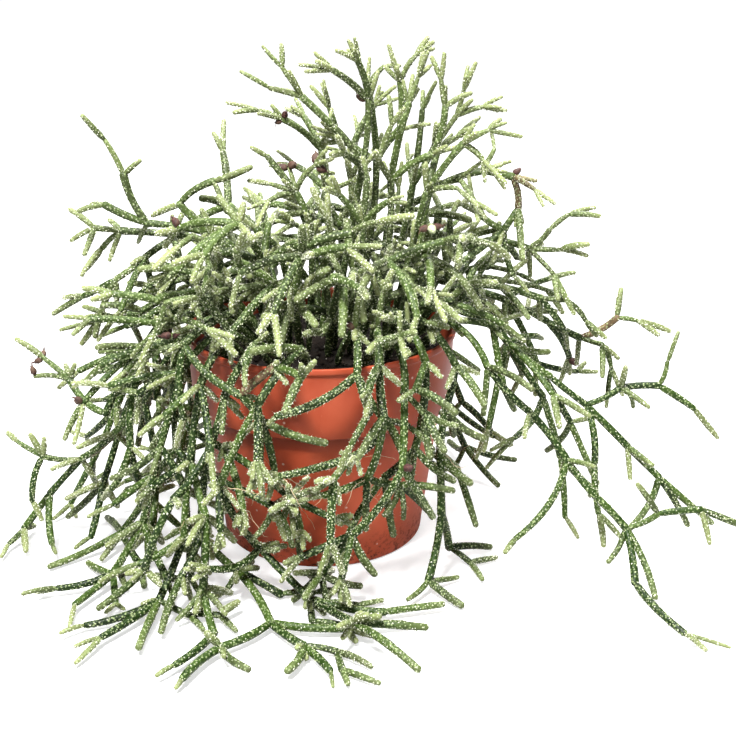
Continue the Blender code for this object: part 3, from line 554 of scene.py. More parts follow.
# The cuttings that were placed one by one. Each run is a line of knots, (x, y, z): the first is
# the root in the soil, (x, y), or a knot of an earlier run, where this one forks off.
PLACED_RUNS = {
    "stem_top_01": [
        [(6, -2), (12, -4, 132), (19, -6, 171)], [(19, -6, 171), (7, -8, 188), (-6, -10, 201)],
        [(-6, -10, 201), (-14, -11, 213)], [(-6, -10, 201), (-19, -13, 205)],
        [(19, -6, 171), (15, -10, 204)], [(15, -10, 204), (7, -11, 212)],
        [(15, -10, 204), (17, -12, 216)]],
    "stem_top_02": [
        [(16, 6), (22, 4, 136), (25, 4, 172)], [(25, 4, 172), (21, 5, 203)],
        [(21, 5, 203), (18, 5, 213)], [(21, 5, 203), (28, 3, 212)],
        [(25, 4, 172), (32, 1, 190), (35, -1, 206)], [(35, -1, 206), (30, -3, 221)],
        [(35, -1, 206), (39, 0, 219)]],
    "stem_top_03": [
        [(23, -6), (29, -10, 128), (31, -13, 166)], [(31, -13, 166), (38, -11, 198)],
        [(38, -11, 198), (42, -10, 209)], [(31, -13, 166), (43, -17, 185), (53, -19, 198)],
        [(53, -19, 198), (51, -20, 209)], [(53, -19, 198), (63, -21, 204)]],
    "stem_top_04": [
        [(29, 8), (35, 9, 130), (41, 8, 160)], [(41, 8, 160), (45, 14, 192)],
        [(41, 8, 160), (50, 5, 177), (59, 4, 191)], [(59, 4, 191), (70, 4, 195)],
        [(59, 4, 191), (62, 3, 202)]],
    "stem_top_05": [
        [(31, -9), (37, -15, 124), (46, -20, 163), (60, -25, 184)],
        [(60, -25, 184), (70, -27, 190)], [(60, -25, 184), (67, -28, 178)],
        [(46, -20, 163), (59, -27, 168)]],
    "stem_top_06": [
        [(39, 0), (43, 0, 128), (48, -2, 160), (70, -4, 169), (83, -6, 167), (86, -8, 154),
         (80, -10, 145)], [(80, -10, 145), (66, -13, 157)], [(80, -10, 145), (62, -18, 133)],
        [(80, -10, 145), (84, -16, 126)]],
    "stem_top_07": [
        [(0, 9), (3, 9, 132), (3, 7, 158), (1, 6, 176), (-15, 3, 190)],
        [(-15, 3, 190), (-25, 1, 194)], [(1, 6, 176), (-10, 12, 191)],
        [(3, 7, 158), (-10, 12, 168)]],
    "stem_top_08": [
        [(13, -16), (18, -23, 122), (19, -27, 150)], [(19, -27, 150), (10, -32, 164)],
        [(19, -27, 150), (29, -34, 162)], [(19, -27, 150), (21, -24, 170)]],
    "stem_top_09": [
        [(-5, -12), (-3, -16, 120), (-2, -17, 144), (-9, -16, 162), (-21, -14, 177)],
        [(-9, -16, 162), (-20, -22, 160)], [(-9, -16, 162), (-1, -19, 174)]],
    "stem_top_10": [
        [(14, 22), (16, 27, 134), (12, 32, 166)], [(12, 32, 166), (4, 34, 190)],
        [(12, 32, 166), (24, 36, 191)], [(16, 27, 134), (27, 35, 152)]],
    "stem_left_01": [
        [(-15, 0), (-26, -2, 126), (-48, -6, 142), (-74, -8, 147)],
        [(-74, -8, 147), (-83, -8, 168), (-90, -8, 183)],
        [(-74, -8, 147), (-88, -10, 158), (-97, -12, 155)],
        [(-48, -6, 142), (-60, -6, 155), (-45, -6, 165), (-29, -6, 171)]],
    "stem_left_02": [
        [(-18, 10), (-36, 10, 126), (-62, 8, 138), (-88, 3, 141)],
        [(-88, 3, 141), (-99, 0, 143), (-109, -2, 138)],
        [(-88, 3, 141), (-98, 8, 132), (-106, 9, 122)],
        [(-62, 8, 138), (-78, 3, 129), (-91, -2, 120)], [(-91, -2, 120), (-101, -6, 95)],
        [(-91, -2, 120), (-106, 0, 112)]],
    "stem_left_03": [
        [(-22, -7), (-42, -12, 118), (-60, -14, 128), (-68, -16, 112), (-72, -18, 94)],
        [(-68, -16, 112), (-84, -19, 104)], [(-72, -18, 94), (-97, -22, 84)],
        [(-60, -14, 128), (-76, -21, 130)]],
    "stem_left_04": [
        [(-30, -14), (-48, -20, 112), (-66, -24, 106), (-82, -23, 90), (-97, -17, 76)],
        [(-97, -17, 76), (-112, -14, 77), (-128, -12, 78)], [(-112, -14, 77), (-124, -10, 86)],
        [(-97, -17, 76), (-110, -20, 63), (-126, -19, 61)], [(-110, -20, 63), (-114, -22, 53)]],
    "stem_left_05": [
        [(-24, -20), (-42, -30, 112), (-60, -36, 102), (-76, -32, 74), (-91, -27, 57),
         (-108, -22, 42), (-124, -20, 24), (-137, -22, 7)],
        [(-108, -22, 42), (-124, -26, 45), (-135, -24, 51)], [(-124, -26, 45), (-129, -32, 26)],
        [(-124, -20, 24), (-121, -36, 7)], [(-137, -22, 7), (-142, -32, 4)]],
    "stem_left_06": [
        [(-28, -2), (-48, -2, 110), (-67, -3, 104), (-81, -7, 78), (-92, -10, 52),
         (-100, -16, 28), (-104, -32, 8)], [(-92, -10, 52), (-112, -4, 34)],
        [(-100, -16, 28), (-119, -12, 8)], [(-81, -7, 78), (-100, 0, 62)]],
    "stem_left_07": [
        [(-28, 9), (-48, 15, 112), (-68, 19, 104), (-85, 22, 80), (-100, 22, 50),
         (-112, 16, 24), (-122, 6, 6)], [(-85, 22, 80), (-104, 30, 74)],
        [(-100, 22, 50), (-118, 32, 30)], [(-112, 16, 24), (-116, 32, 6)]],
    "stem_left_08": [
        [(-36, -22), (-50, -31, 108), (-66, -38, 88), (-72, -37, 56), (-78, -30, 28),
         (-91, -28, 8), (-128, -42, 4)], [(-78, -30, 28), (-64, -24, 8)],
        [(-72, -37, 56), (-90, -44, 38)]],
    "stem_left_09": [
        [(-30, -29), (-42, -44, 108), (-56, -52, 94), (-66, -54, 62), (-75, -56, 28),
         (-88, -64, 7), (-110, -71, 4)], [(-66, -54, 62), (-85, -58, 46)],
        [(-75, -56, 28), (-64, -68, 7)], [(-88, -64, 7), (-100, -84, 4)]],
    "stem_left_10": [
        [(-20, -33), (-35, -49, 110), (-47, -60, 92), (-52, -64, 60), (-56, -67, 26),
         (-65, -84, 6), (-84, -109, 4)], [(-65, -84, 6), (-94, -94, 4)],
        [(-56, -67, 26), (-73, -76, 16)], [(-65, -84, 6), (-68, -116, 4)],
        [(-52, -64, 60), (-46, -78, 40), (-46, -88, 14), (-40, -106, 4), (-52, -128, 4)],
        [(-46, -88, 14), (-56, -96, 4)]],
    "stem_front_01": [
        [(-16, -25), (-34, -40, 117), (-49, -50, 100), (-36, -64, 88), (-22, -68, 80)],
        [(-22, -68, 80), (-17, -68, 56)], [(-22, -68, 80), (4, -73, 72)],
        [(-49, -50, 100), (-50, -58, 80)]],
    "stem_front_02": [
        [(-37, -33), (-47, -38, 109), (-60, -46, 92), (-59, -49, 74), (-39, -60, 64),
         (-2, -70, 49)], [(-59, -49, 74), (-60, -51, 60), (-45, -59, 50), (-18, -70, 42)],
        [(-18, -70, 42), (-10, -76, 27)], [(-18, -70, 42), (-27, -75, 29)],
        [(-2, -70, 49), (8, -72, 37)], [(-2, -70, 49), (-6, -76, 34)],
        [(-39, -60, 64), (-28, -70, 48)]],
    "stem_front_04": [
        [(8, -31), (16, -49, 112), (17, -66, 99), (-15, -74, 84)],
        [(17, -66, 99), (29, -67, 79), (16, -73, 66), (-14, -77, 59)],
        [(29, -67, 79), (38, -72, 60)]],
    "stem_front_05": [
        [(20, -29), (25, -46, 112), (26, -62, 101), (23, -69, 78), (21, -68, 62), (3, -70, 47)],
        [(21, -68, 62), (34, -62, 48), (47, -54, 32)], [(34, -62, 48), (28, -70, 38)],
        [(34, -62, 48), (36, -71, 37)]],
    "stem_front_06": [
        [(29, -24), (38, -40, 110), (45, -52, 99), (44, -57, 80), (41, -60, 64), (32, -62, 44),
         (12, -66, 24)], [(41, -60, 64), (57, -62, 50)], [(44, -57, 80), (58, -60, 74)]],
    "stem_front_07": [
        [(35, -18), (47, -32, 108), (57, -42, 95), (54, -46, 76), (52, -48, 56), (51, -54, 30),
         (47, -68, 6)], [(52, -48, 56), (60, -54, 38)], [(54, -46, 76), (70, -50, 64)],
        [(47, -68, 6), (38, -80, 4)]],
    "stem_front_08": [
        [(-12, -39), (-24, -55, 108), (-37, -64, 88), (-43, -62, 62), (-42, -60, 34),
         (-34, -70, 12), (-18, -98, 4)], [(-18, -98, 4), (-36, -116, 4), (-48, -137, 4)],
        [(-36, -116, 4), (-24, -131, 4)], [(-18, -98, 4), (-4, -115, 4), (7, -132, 4)],
        [(-4, -115, 4), (-9, -132, 4)], [(-18, -98, 4), (12, -102, 4), (36, -99, 4)],
        [(-42, -60, 34), (-56, -78, 14), (-60, -102, 4), (-75, -122, 4)],
        [(-43, -62, 62), (-58, -76, 44), (-70, -84, 20), (-88, -92, 4)],
        [(-34, -70, 12), (-24, -84, 5)]],
    "stem_front_09": [
        [(-3, -41), (-6, -59, 107), (-26, -72, 88), (-33, -68, 52), (-24, -68, 24),
         (-3, -84, 7), (14, -108, 9), (40, -134, 6)], [(-3, -84, 7), (28, -90, 4), (52, -84, 4)],
        [(-24, -68, 24), (-12, -76, 30)], [(-24, -68, 24), (-44, -88, 22)],
        [(14, -108, 9), (44, -108, 8)]],
    "stem_front_03": [
        [(16, -42), (30, -54, 108), (36, -64, 90), (30, -72, 62), (15, -80, 34), (2, -76, 14),
         (-14, -84, 8)], [(2, -76, 14), (18, -76, 8)], [(2, -76, 14), (-4, -96, 14)],
        [(15, -80, 34), (24, -80, 16)], [(15, -80, 34), (-6, -84, 26)]],
    "stem_right_01": [
        [(38, 7), (58, 6, 128), (77, 4, 137), (92, 0, 134)],
        [(92, 0, 134), (101, 0, 142), (109, 0, 149)], [(92, 0, 134), (106, -3, 134)],
        [(92, 0, 134), (103, -8, 124)], [(77, 4, 137), (89, 14, 126)]],
    "stem_right_02": [
        [(38, -8), (57, -11, 118), (79, -12, 120), (97, -10, 114)],
        [(97, -10, 114), (108, -9, 113), (118, -8, 103)], [(97, -10, 114), (109, -6, 98)],
        [(79, -12, 120), (90, -26, 110)]],
    "stem_right_03": [
        [(41, 15), (60, 15, 112), (84, 11, 107), (103, 7, 98), (118, 4, 91)],
        [(118, 4, 91), (134, 2, 101), (143, 1, 100)],
        [(118, 4, 91), (127, -3, 90), (132, -3, 79)], [(103, 7, 98), (116, 14, 80)]],
    "stem_right_04": [
        [(45, -13), (62, -17, 107), (83, -18, 96), (102, -17, 80), (119, -16, 66)],
        [(119, -16, 66), (134, -16, 74), (151, -16, 75), (167, -18, 65)],
        [(151, -16, 75), (154, -16, 86)], [(134, -16, 74), (142, -9, 62)],
        [(119, -16, 66), (138, -22, 48), (152, -26, 35), (166, -30, 13)],
        [(152, -26, 35), (178, -26, 12)], [(152, -26, 35), (138, -34, 12)],
        [(119, -16, 66), (122, -30, 44), (124, -36, 22)]],
    "stem_right_05": [
        [(40, -25), (54, -33, 107), (72, -38, 92), (90, -45, 74), (106, -50, 54),
         (118, -56, 40), (131, -60, 27)],
        [(131, -60, 27), (144, -61, 34), (162, -61, 36), (182, -62, 28)],
        [(131, -60, 27), (157, -74, 15), (174, -84, 5)], [(157, -74, 15), (155, -100, 4)],
        [(131, -60, 27), (149, -84, 12)], [(131, -60, 27), (132, -80, 12), (147, -106, 4)],
        [(131, -60, 27), (123, -68, 15)], [(106, -50, 54), (84, -64, 24)],
        [(106, -50, 54), (88, -52, 58), (70, -54, 56)], [(106, -50, 54), (108, -66, 30)]],
    "stem_right_06": [
        [(48, -2), (63, -3, 106), (84, -3, 91), (101, -6, 66), (110, -10, 38), (112, -20, 12)],
        [(101, -6, 66), (88, -16, 50)], [(110, -10, 38), (127, 0, 18)],
        [(84, -3, 91), (104, 4, 84)]],
    "stem_right_07": [
        [(44, 23), (60, 27, 108), (81, 29, 95), (102, 29, 70), (120, 26, 40), (134, 20, 10)],
        [(102, 29, 70), (124, 38, 62)], [(120, 26, 40), (112, 42, 18)],
        [(81, 29, 95), (98, 40, 92)]],
}

# Cuttings that rise out of the soil all round, arch over and hang their ends at the rim:
# azimuth and radius of the root, height of the arch, and how far out the end reaches.
CROWN = [(-104, 27, 140, 66), (-80, 21, 130, 62), (-54, 27, 136, 70), (-26, 31, 133, 76),
         (40, 24, 139, 72), (68, 33, 131, 78), (96, 27, 140, 72), (122, 34, 133, 78),
         (156, 12, 150, 70), (-142, 20, 152, 72), (-122, 25, 128, 66), (22, 34, 136, 80),
         (-64, 12, 128, 52), (64, 14, 127, 50), (-174, 21, 129, 56)]
CROWN_BELOW_ARCH = 20    # the first knot is this far below the arch
CROWN_DROOP = 16         # and the end is this far below it
CROWN_TURN = 6           # the arch's turn from the root's azimuth, in degrees
ARCH_AT = 0.62           # the arch's place along the reach
FORK_AT = 0.86           # the side end's place along the reach
FORK_TURN = -18
FORK_DROOP = 4

# Cuttings that go over the rim at the back and trail down to the surface: azimuth and radius
# of the root, and how far out the end lies. Then the knots that they share, as radius,
# turn in degrees and height, and the forks, each from one of those knots.
BACK = [(38, 39, 116), (60, 42, 124), (82, 39, 118), (104, 43, 126), (126, 40, 118),
        (148, 43, 122)]
BACK_KNOTS = [(54, 0, 110), (68, 2, 101), (73, 4, 74), (77, 2, 44), (88, -2, 16)]
BACK_FORKS = [(2, (90, 16, 62)), (3, (94, -12, 26)), (4, (106, 14, 5))]
BACK_END_TURN = -6
BACK_END_HEIGHT = 4


def around(radius, azimuth, height):
    """A knot at a radius, an azimuth in degrees and a height."""
    angle = math.radians(azimuth)
    return (round(radius * math.cos(angle), 1), round(radius * math.sin(angle), 1), height)


def crown_runs():
    """The runs of the cuttings in CROWN."""
    made = {}
    for i, (azimuth, root, height, reach) in enumerate(CROWN):
        foot = around(root, azimuth, 0)[:2]
        rise = around(root * 1.3 + 4, azimuth, height - CROWN_BELOW_ARCH)
        top = around(reach * ARCH_AT, azimuth + CROWN_TURN, height)
        end = around(reach, azimuth, height - CROWN_DROOP)
        side = around(reach * FORK_AT, azimuth + FORK_TURN, height - FORK_DROOP)
        made[f"stem_crown_{i + 1:02d}"] = [[foot, rise, top, end], [top, side]]
    return made


def back_runs():
    """The runs of the cuttings in BACK."""
    made = {}
    for i, (azimuth, root, far) in enumerate(BACK):
        foot = around(root, azimuth, 0)[:2]
        knots = [around(out, azimuth + turn, height) for out, turn, height in BACK_KNOTS]
        end = around(far, azimuth + BACK_END_TURN, BACK_END_HEIGHT)
        forks = [[knots[at], around(out, azimuth + turn, height)]
                 for at, (out, turn, height) in BACK_FORKS]
        made[f"stem_back_{i + 1:02d}"] = [[foot, *knots, end], *forks]
    return made


def unit(vector):
    """The same direction, with length 1."""
    return vector / max(np.linalg.norm(vector), 1e-9)


def crosswise(direction, rng):
    """A random direction square to this one."""
    side = np.array([rng.gauss(0, 1) for _ in range(3)])
    return unit(side - direction * (side @ direction))


def curve(start, control, end, count):
    """Points along a curve that leaves its start towards control, and how far along each is."""
    t = np.linspace(0.0, 1.0, count)[:, None]
    return (1 - t) ** 2 * start + 2 * t * (1 - t) * control + t ** 2 * end, t


class Joint:
    """One length of stem: a curve from start to end that leaves towards control.

    Its rank is 0 on a cutting's first run, 1 on its other runs, and more on side shoots. A fresh
    one is new growth that the frame leaves out.
    """

    def __init__(self, owner, start, control, end, rank, fresh=False):
        self.owner, self.rank, self.fresh = owner, rank, fresh
        self.start, self.control, self.end = start, control, end
        self.length = np.linalg.norm(end - start)
        self.half = YOUNG_HALF if rank and self.length < YOUNG_LENGTH else STEM_HALF
        self.stretches = 2 if self.length > BENT_LENGTH else 1
        self.ahead = unit(end - control)
        self.leaves = unit(self.points()[1] - start)
        self.children = []

    def points(self):
        """The ends of its straight stretches, along the curve."""
        return curve(self.start, self.control, self.end, self.stretches + 1)[0]

    def young(self):
        """Whether it is thinner than a grown joint."""
        return self.half != STEM_HALF

    def beside(self, other, cosine):
        """Whether it would leave its knot too close to a joint that is there."""
        return self.leaves @ other.leaves > cosine


def clear_of_pot(point, reach):
    """Whether a stem of this reach about a point clears the surface, the pot and the soil."""
    out, height = math.hypot(point[0], point[1]), point[2]
    if height < reach + SURFACE_AIR:
        return False
    if height > pot_height + reach + STEM_GAP:
        return True
    if out > wall_radius(height) + LIP_OUT + reach + STEM_GAP:
        return True
    return (height > SOIL_LEVEL + FIT_GAP
            and out < rim_radius - POT_WALL - reach - STEM_GAP - RIM_AIR)


class Thicket:
    """Every straight stretch grown so far, for keeping a new joint clear of them."""
    MOST = 6000
    SAME_KNOT = 0.01
    SAMPLE = 3.0
    FREE = 99.0

    def __init__(self):
        self.count = 0
        self.starts = np.zeros((self.MOST, 3))
        self.ends = np.zeros((self.MOST, 3))
        self.reaches = np.zeros(self.MOST)
        self.owners = np.zeros(self.MOST, dtype=int)

    def add(self, joint, parent):
        """Take a joint in, as a child of the one that it grows from, if any."""
        if parent is not None:
            parent.children.append(joint)
        points = joint.points()
        for start, end in zip(points[:-1], points[1:]):
            self.starts[self.count] = start
            self.ends[self.count] = end
            self.reaches[self.count] = joint.half * CORNER
            self.owners[self.count] = joint.owner
            self.count += 1

    def gaps(self, start, end):
        """Closest distance from one straight stretch to each one grown so far."""
        others, ends = self.starts[:self.count], self.ends[:self.count]
        own, theirs, apart = end - start, ends - others, start - others
        own_square = own @ own
        their_square = np.maximum((theirs * theirs).sum(1), 1e-9)
        mixed = theirs @ own
        their_apart = (theirs * apart).sum(1)
        own_apart = apart @ own
        span = np.maximum(own_square * their_square - mixed * mixed, 1e-9)
        s = np.clip((mixed * their_apart - own_apart * their_square) / span, 0, 1)
        t = (mixed * s + their_apart) / their_square
        before = np.clip(-own_apart / own_square, 0, 1)
        after = np.clip((mixed - own_apart) / own_square, 0, 1)
        s = np.where(t < 0, before, np.where(t > 1, after, s))
        t = np.clip(t, 0, 1)
        nearest, their_nearest = start + s[:, None] * own, others + t[:, None] * theirs
        return np.linalg.norm(nearest - their_nearest, axis=1)

    def room(self, joint):
        """The least air round a new joint, below 0 where it would touch something."""
        reach = joint.half * CORNER
        points = joint.points()
        for start, end in zip(points[:-1], points[1:]):
            steps = max(2, int(np.linalg.norm(end - start) / self.SAMPLE))
            for i in range(1, steps + 1):
                if not clear_of_pot(start + (end - start) * i / steps, reach):
                    return -1.0
        if not self.count:
            return self.FREE
        kin = self.owners[:self.count] == joint.owner
        at_start = np.abs(self.starts[:self.count] - joint.start).sum(1) < self.SAME_KNOT
        at_end = np.abs(self.ends[:self.count] - joint.start).sum(1) < self.SAME_KNOT
        wanted = np.where(kin, KIN_GAP, STEM_GAP) + self.reaches[:self.count] + reach
        least = self.FREE
        for start, end in zip(points[:-1], points[1:]):
            air = self.gaps(start, end) - wanted
            air[kin & (at_start | at_end)] = self.FREE
            least = min(least, float(air.min()))
        return least


SHORTEST = 10.0          # the shortest joint
NUDGES = 80              # tries at placing a joint that was chosen
NUDGE_STEP = 0.15        # how much further each try goes aside
FOLLOW = 0.35            # how much a joint keeps to the way the last one headed
TOO_ALIKE = 0.76         # two joints from one knot keep at least this cosine apart


def main_joint(thicket, rng, owner, rank, parent, place, heading, aim):
    """A joint towards a chosen knot, nudged aside where another is in its way, and its room."""
    best, best_room = None, None
    for trial in range(NUDGES):
        shift = 1.0 + trial * NUDGE_STEP if trial else 0.0
        end = aim + shift * np.array([rng.uniform(-1, 1) for _ in range(3)])
        end[2] = max(end[2], LOWEST_LINE)
        span = np.linalg.norm(end - place)
        lead = unit(heading * FOLLOW + unit(end - place) * (1 - FOLLOW))
        joint = Joint(owner, place, place + lead * span * 0.5, end, rank)
        room = thicket.room(joint)
        alike = parent and any(joint.beside(child, TOO_ALIKE) for child in parent.children)
        if span < SHORTEST or alike:
            room -= SHORTEST
        if best is None or room > best_room:
            best, best_room = joint, room
        if room >= 0:
            break
    return best, best_room


# How many side shoots a knot puts out, their shortest and their longest, by group.
SHOOTS = {"top": (1, 12, 24), "crown": (3, 16, 32), "left": (2, 16, 34), "right": (2, 16, 34),
          "front": (1, 14, 28), "back": (2, 20, 40)}
# They come only where the plant is bushy: inside this radius, and below these heights.
BUSHY_RADIUS = 88.0
BUSHY_HEIGHT = {"top": 182.0, "crown": 156.0, "left": 136.0, "right": 136.0, "front": 136.0,
                "back": 136.0}
# They come on the surface too, in front of the pot and to its left, between these in x.
LYING_REACH = (-110.0, 12.0)
# The chance that a knot puts out shoots in each round, and their relative size.
ROUNDS = [(1.0, 1.0), (0.45, 0.8), (0.4, 0.65)]
MOST_SHOOTS = 4          # a knot has no room for more
SAG = 0.2                # how far a shoot's end drops, by its length
SAG_TOP = 0.06           # the same for the stiffer stems at the top
SHOOT_TRIES = 28
SHOOT_SHORTER = 0.015    # how much shorter each try is
SHOOT_ANGLES = (32, 68)  # between a shoot and the joint it grows from, in degrees
FLATTEN = 0.25           # how much of its rise a lying shoot keeps
INWARD = -0.3            # shoots that point further in than this, at the pot, aren't grown
SEED = 21


def bushy(place, group):
    """Whether a knot is where side shoots come."""
    x, y, z = place
    lying = z < LYING_HEIGHT and LYING_REACH[0] < x < LYING_REACH[1]
    return lying or (math.hypot(x, y) < BUSHY_RADIUS and z < BUSHY_HEIGHT[group])


def leaving(parent, rng, angles, flatten):
    """A direction in which a shoot may leave the end of its parent."""
    side = crosswise(parent.ahead, rng)
    angle = math.radians(rng.uniform(*angles))
    heading = unit(parent.ahead * math.cos(angle) + side * math.sin(angle))
    if parent.end[2] < LYING_HEIGHT:
        heading = unit(heading * np.array([1.0, 1.0, flatten]))
    return heading


def side_shoot(thicket, rng, parent, low, high, sag):
    """A side shoot at a knot, in a free direction, or None where there is no room."""
    hub = parent.end
    outward = unit(np.array([hub[0], hub[1], 0.0]))
    for trial in range(SHOOT_TRIES):
        heading = leaving(parent, rng, SHOOT_ANGLES, FLATTEN)
        length = max(rng.uniform(low, high) * (1 - SHOOT_SHORTER * trial), SHORTEST)
        end = hub + heading * length - np.array([0.0, 0.0, sag * length])
        control = hub + heading * length * 0.5
        for point in (end, control):
            point[2] = max(point[2], LOWEST_LINE)
        joint = Joint(parent.owner, hub, control, end, parent.rank + 1)
        inward = hub[2] < pot_height and heading @ outward < INWARD
        alike = any(joint.beside(child, TOO_ALIKE) for child in parent.children)
        if not inward and not alike and thicket.room(joint) >= 0:
            return joint
    return None


def grow_runs(thicket, rng, owner, runs):
    """One cutting's joints along its runs. A later run stops where it finds no room."""
    joints, knots = [], {}
    for run in runs:
        parent = knots.get(run[0])
        if parent is not None:
            place, heading = parent.end, parent.ahead
        elif not joints:
            place = np.array([run[0][0], run[0][1], SOIL_LEVEL + FIT_GAP])
            heading = np.array([0.0, 0.0, 1.0])
        else:
            continue
        rank = 0 if run is runs[0] else 1
        for aim in run[1:]:
            aim_point = np.array(aim, dtype=float)
            joint, room = main_joint(thicket, rng, owner, rank, parent, place, heading, aim_point)
            if room < 0 and rank:
                break
            thicket.add(joint, parent)
            joints.append(joint)
            knots[aim] = joint
            parent, place, heading = joint, joint.end, joint.ahead
    return joints


def grow_shoots(thicket, rng, parent, group, wanted, scale):
    """The side shoots that a knot finds room for."""
    _, low, high = SHOOTS[group]
    sag = SAG_TOP if group == "top" else SAG
    shoots = []
    for _ in range(wanted):
        if len(parent.children) >= MOST_SHOOTS:
            break
        shoot = side_shoot(thicket, rng, parent, low * scale, high * scale, sag)
        if shoot is not None:
            thicket.add(shoot, parent)
            shoots.append(shoot)
    return shoots


def group_of(name):
    """The group that a cutting is in, from its name."""
    return name.split("_")[1]


def grow():
    """Every cutting's joints, by name, and the thicket. The same seed gives the same plant."""
    rng = random.Random(SEED)
    thicket = Thicket()
    cuttings = {**PLACED_RUNS, **crown_runs(), **back_runs()}
    plant = {name: grow_runs(thicket, rng, owner, runs)
             for owner, (name, runs) in enumerate(cuttings.items())}
    wave = {name: [joint for joint in joints if joint.children]
            for name, joints in plant.items()}
    for chance, scale in ROUNDS:
        fresh = {name: [] for name in plant}
        for name, joints in wave.items():
            group = group_of(name)
            for parent in joints:
                if rng.random() > chance or not bushy(parent.end, group):
                    continue
                wanted = SHOOTS[group][0] if chance == 1.0 else 1
                if parent.end[2] < LYING_HEIGHT:
                    wanted += 1
                fresh[name] += grow_shoots(thicket, rng, parent, group, wanted, scale)
            plant[name] += fresh[name]
        wave = fresh
    return plant, thicket


# Fresh shoots, which the frame leaves out. By group: the chance that an end bears some and how
# many at most, the same for a knot, their shortest and longest, and half their thickness.
FRESH = {"top": (0.92, 4, 0.95, 3, 7, 15, 1.22), "crown": (0.60, 2, 0.70, 2, 9, 20, 1.66),
         "left": (0.60, 2, 0.75, 2, 8, 17, 1.52), "right": (0.60, 2, 0.65, 2, 8, 18, 1.52),
         "front": (0.70, 3, 0.90, 3, 6, 13, 1.50), "back": (0.40, 2, 0.50, 2, 6, 13, 1.35)}
FRESH_SEED = 4
FRESH_TRIES = 12
FRESH_SHORTER = 0.03     # how much shorter each try is
FRESH_SAG = 0.1
FRESH_FLATTEN = 0.3
FRESH_LOWEST = 2.4       # above the surface
FRESH_VARIES = (0.78, 1.05)     # in thickness
FRESH_ALIKE = 0.92       # two fresh shoots from one knot keep at least this cosine apart
FAN_ANGLES = (8, 32)     # between any fresh shoot and its parent in the plume at the top
END_ANGLES = (6, 40)     # between a shoot and the end it grows from, in degrees
KNOT_ANGLES = (35, 80)   # and from a knot
STRAY_OUT = 2.5          # how far they may reach past the frame's outermost points
LOW_DOWN = 48.0          # the front and left cuttings' knots below this bear one more,
LOW_LONGER = 4.0         # and longer and thicker ones
LOW_THICKER = 1.15
LYING_THICKER = 0.8      # ends that lie on the surface bear thinner ones
ROSETTE = np.array((-4.0, -80.0, 32.0))     # knots near this place bear two more
ROSETTE_REACH = 44.0
ON_SURFACE = 3.5         # knots lower than this bear none
SHADED_RADIUS = 50.0     # and none come on knots both this far in and this low down,
SHADED_HEIGHT = 118.0
BARE_FROM = 16.0         # or on the front cuttings' knots right of this and below this height
BARE_HEIGHT = 92.0
END_SLACK = 0.35         # how much further than its corner a core may lie from its joint's end

lowest, highest = np.array(cad_low) / MM, np.array(cad_high) / MM


def core_points(name):
    """The frame's own points of one node."""
    vertices = frame["nodes"][name].data.vertices
    points = np.empty(len(vertices) * 3)
    vertices.foreach_get("co", points)
    return points.reshape(-1, 3) / MM


def standing(joints, points):
    """The joints that the frame has too. One with no point near its end goes, and so does all
    that grows from it."""
    gone = set()
    for joint in joints:
        near = np.linalg.norm(points - joint.end, axis=1).min()
        if near > joint.half * CORNER + END_SLACK:
            gone.add(joint)
    for joint in joints:
        if joint in gone:
            gone.update(joint.children)
    for joint in joints:
        joint.children = [child for child in joint.children if child not in gone]
    return [joint for joint in joints if joint not in gone]


def fresh_shoot(thicket, rng, parent, angles, shortest, longest, half):
    """One fresh shoot at the end of a joint, in a free direction, or None."""
    hub = parent.end
    for trial in range(FRESH_TRIES):
        heading = leaving(parent, rng, angles, FRESH_FLATTEN)
        length = rng.uniform(shortest, longest) * (1 - FRESH_SHORTER * trial)
        end = hub + heading * length - np.array([0.0, 0.0, FRESH_SAG * length])
        end[2] = max(end[2], FRESH_LOWEST)
        shoot = Joint(parent.owner, hub, hub + heading * length * 0.5, end, parent.rank + 1, True)
        shoot.half = half * rng.uniform(*FRESH_VARIES)
        inside = ((end > lowest - STRAY_OUT) & (end < highest + STRAY_OUT)).all()
        alike = any(shoot.beside(child, FRESH_ALIKE) for child in parent.children)
        if inside and not alike and thicket.room(shoot) >= 0:
            return shoot
    return None


def bare(knot, group, at_end):
    """Whether a knot is one that bears no fresh shoots."""
    x, y, z = knot
    return (z < ON_SURFACE and not at_end
            or math.hypot(x, y) < SHADED_RADIUS and z < SHADED_HEIGHT
            or group == "front" and x > BARE_FROM and z < BARE_HEIGHT)


def fresh_shoots(thicket, rng, joints, group):
    """Short new growth at some ends and knots of a cutting."""
    end_chance, end_most, knot_chance, knot_most, shortest, longest, half = FRESH[group]
    made = []
    for parent in joints:
        at_end = not parent.children
        chance, most = (end_chance, end_most) if at_end else (knot_chance, knot_most)
        if rng.random() > chance or bare(parent.end, group, at_end):
            continue
        low_down = group in ("front", "left") and parent.end[2] < LOW_DOWN and not at_end
        longer, thicker = (LOW_LONGER, LOW_THICKER) if low_down else (0.0, 1.0)
        if at_end and parent.end[2] < LYING_HEIGHT:
            thicker = LYING_THICKER
        matted = np.linalg.norm(parent.end - ROSETTE) < ROSETTE_REACH
        angles = FAN_ANGLES if group == "top" else END_ANGLES if at_end else KNOT_ANGLES
        for _ in range(rng.randint(1, most) + low_down + 2 * matted):
            shoot = fresh_shoot(thicket, rng, parent, angles, shortest, longest + longer,
                                half * thicker)
            if shoot is not None:
                thicket.add(shoot, parent)
                made.append(shoot)
    return made


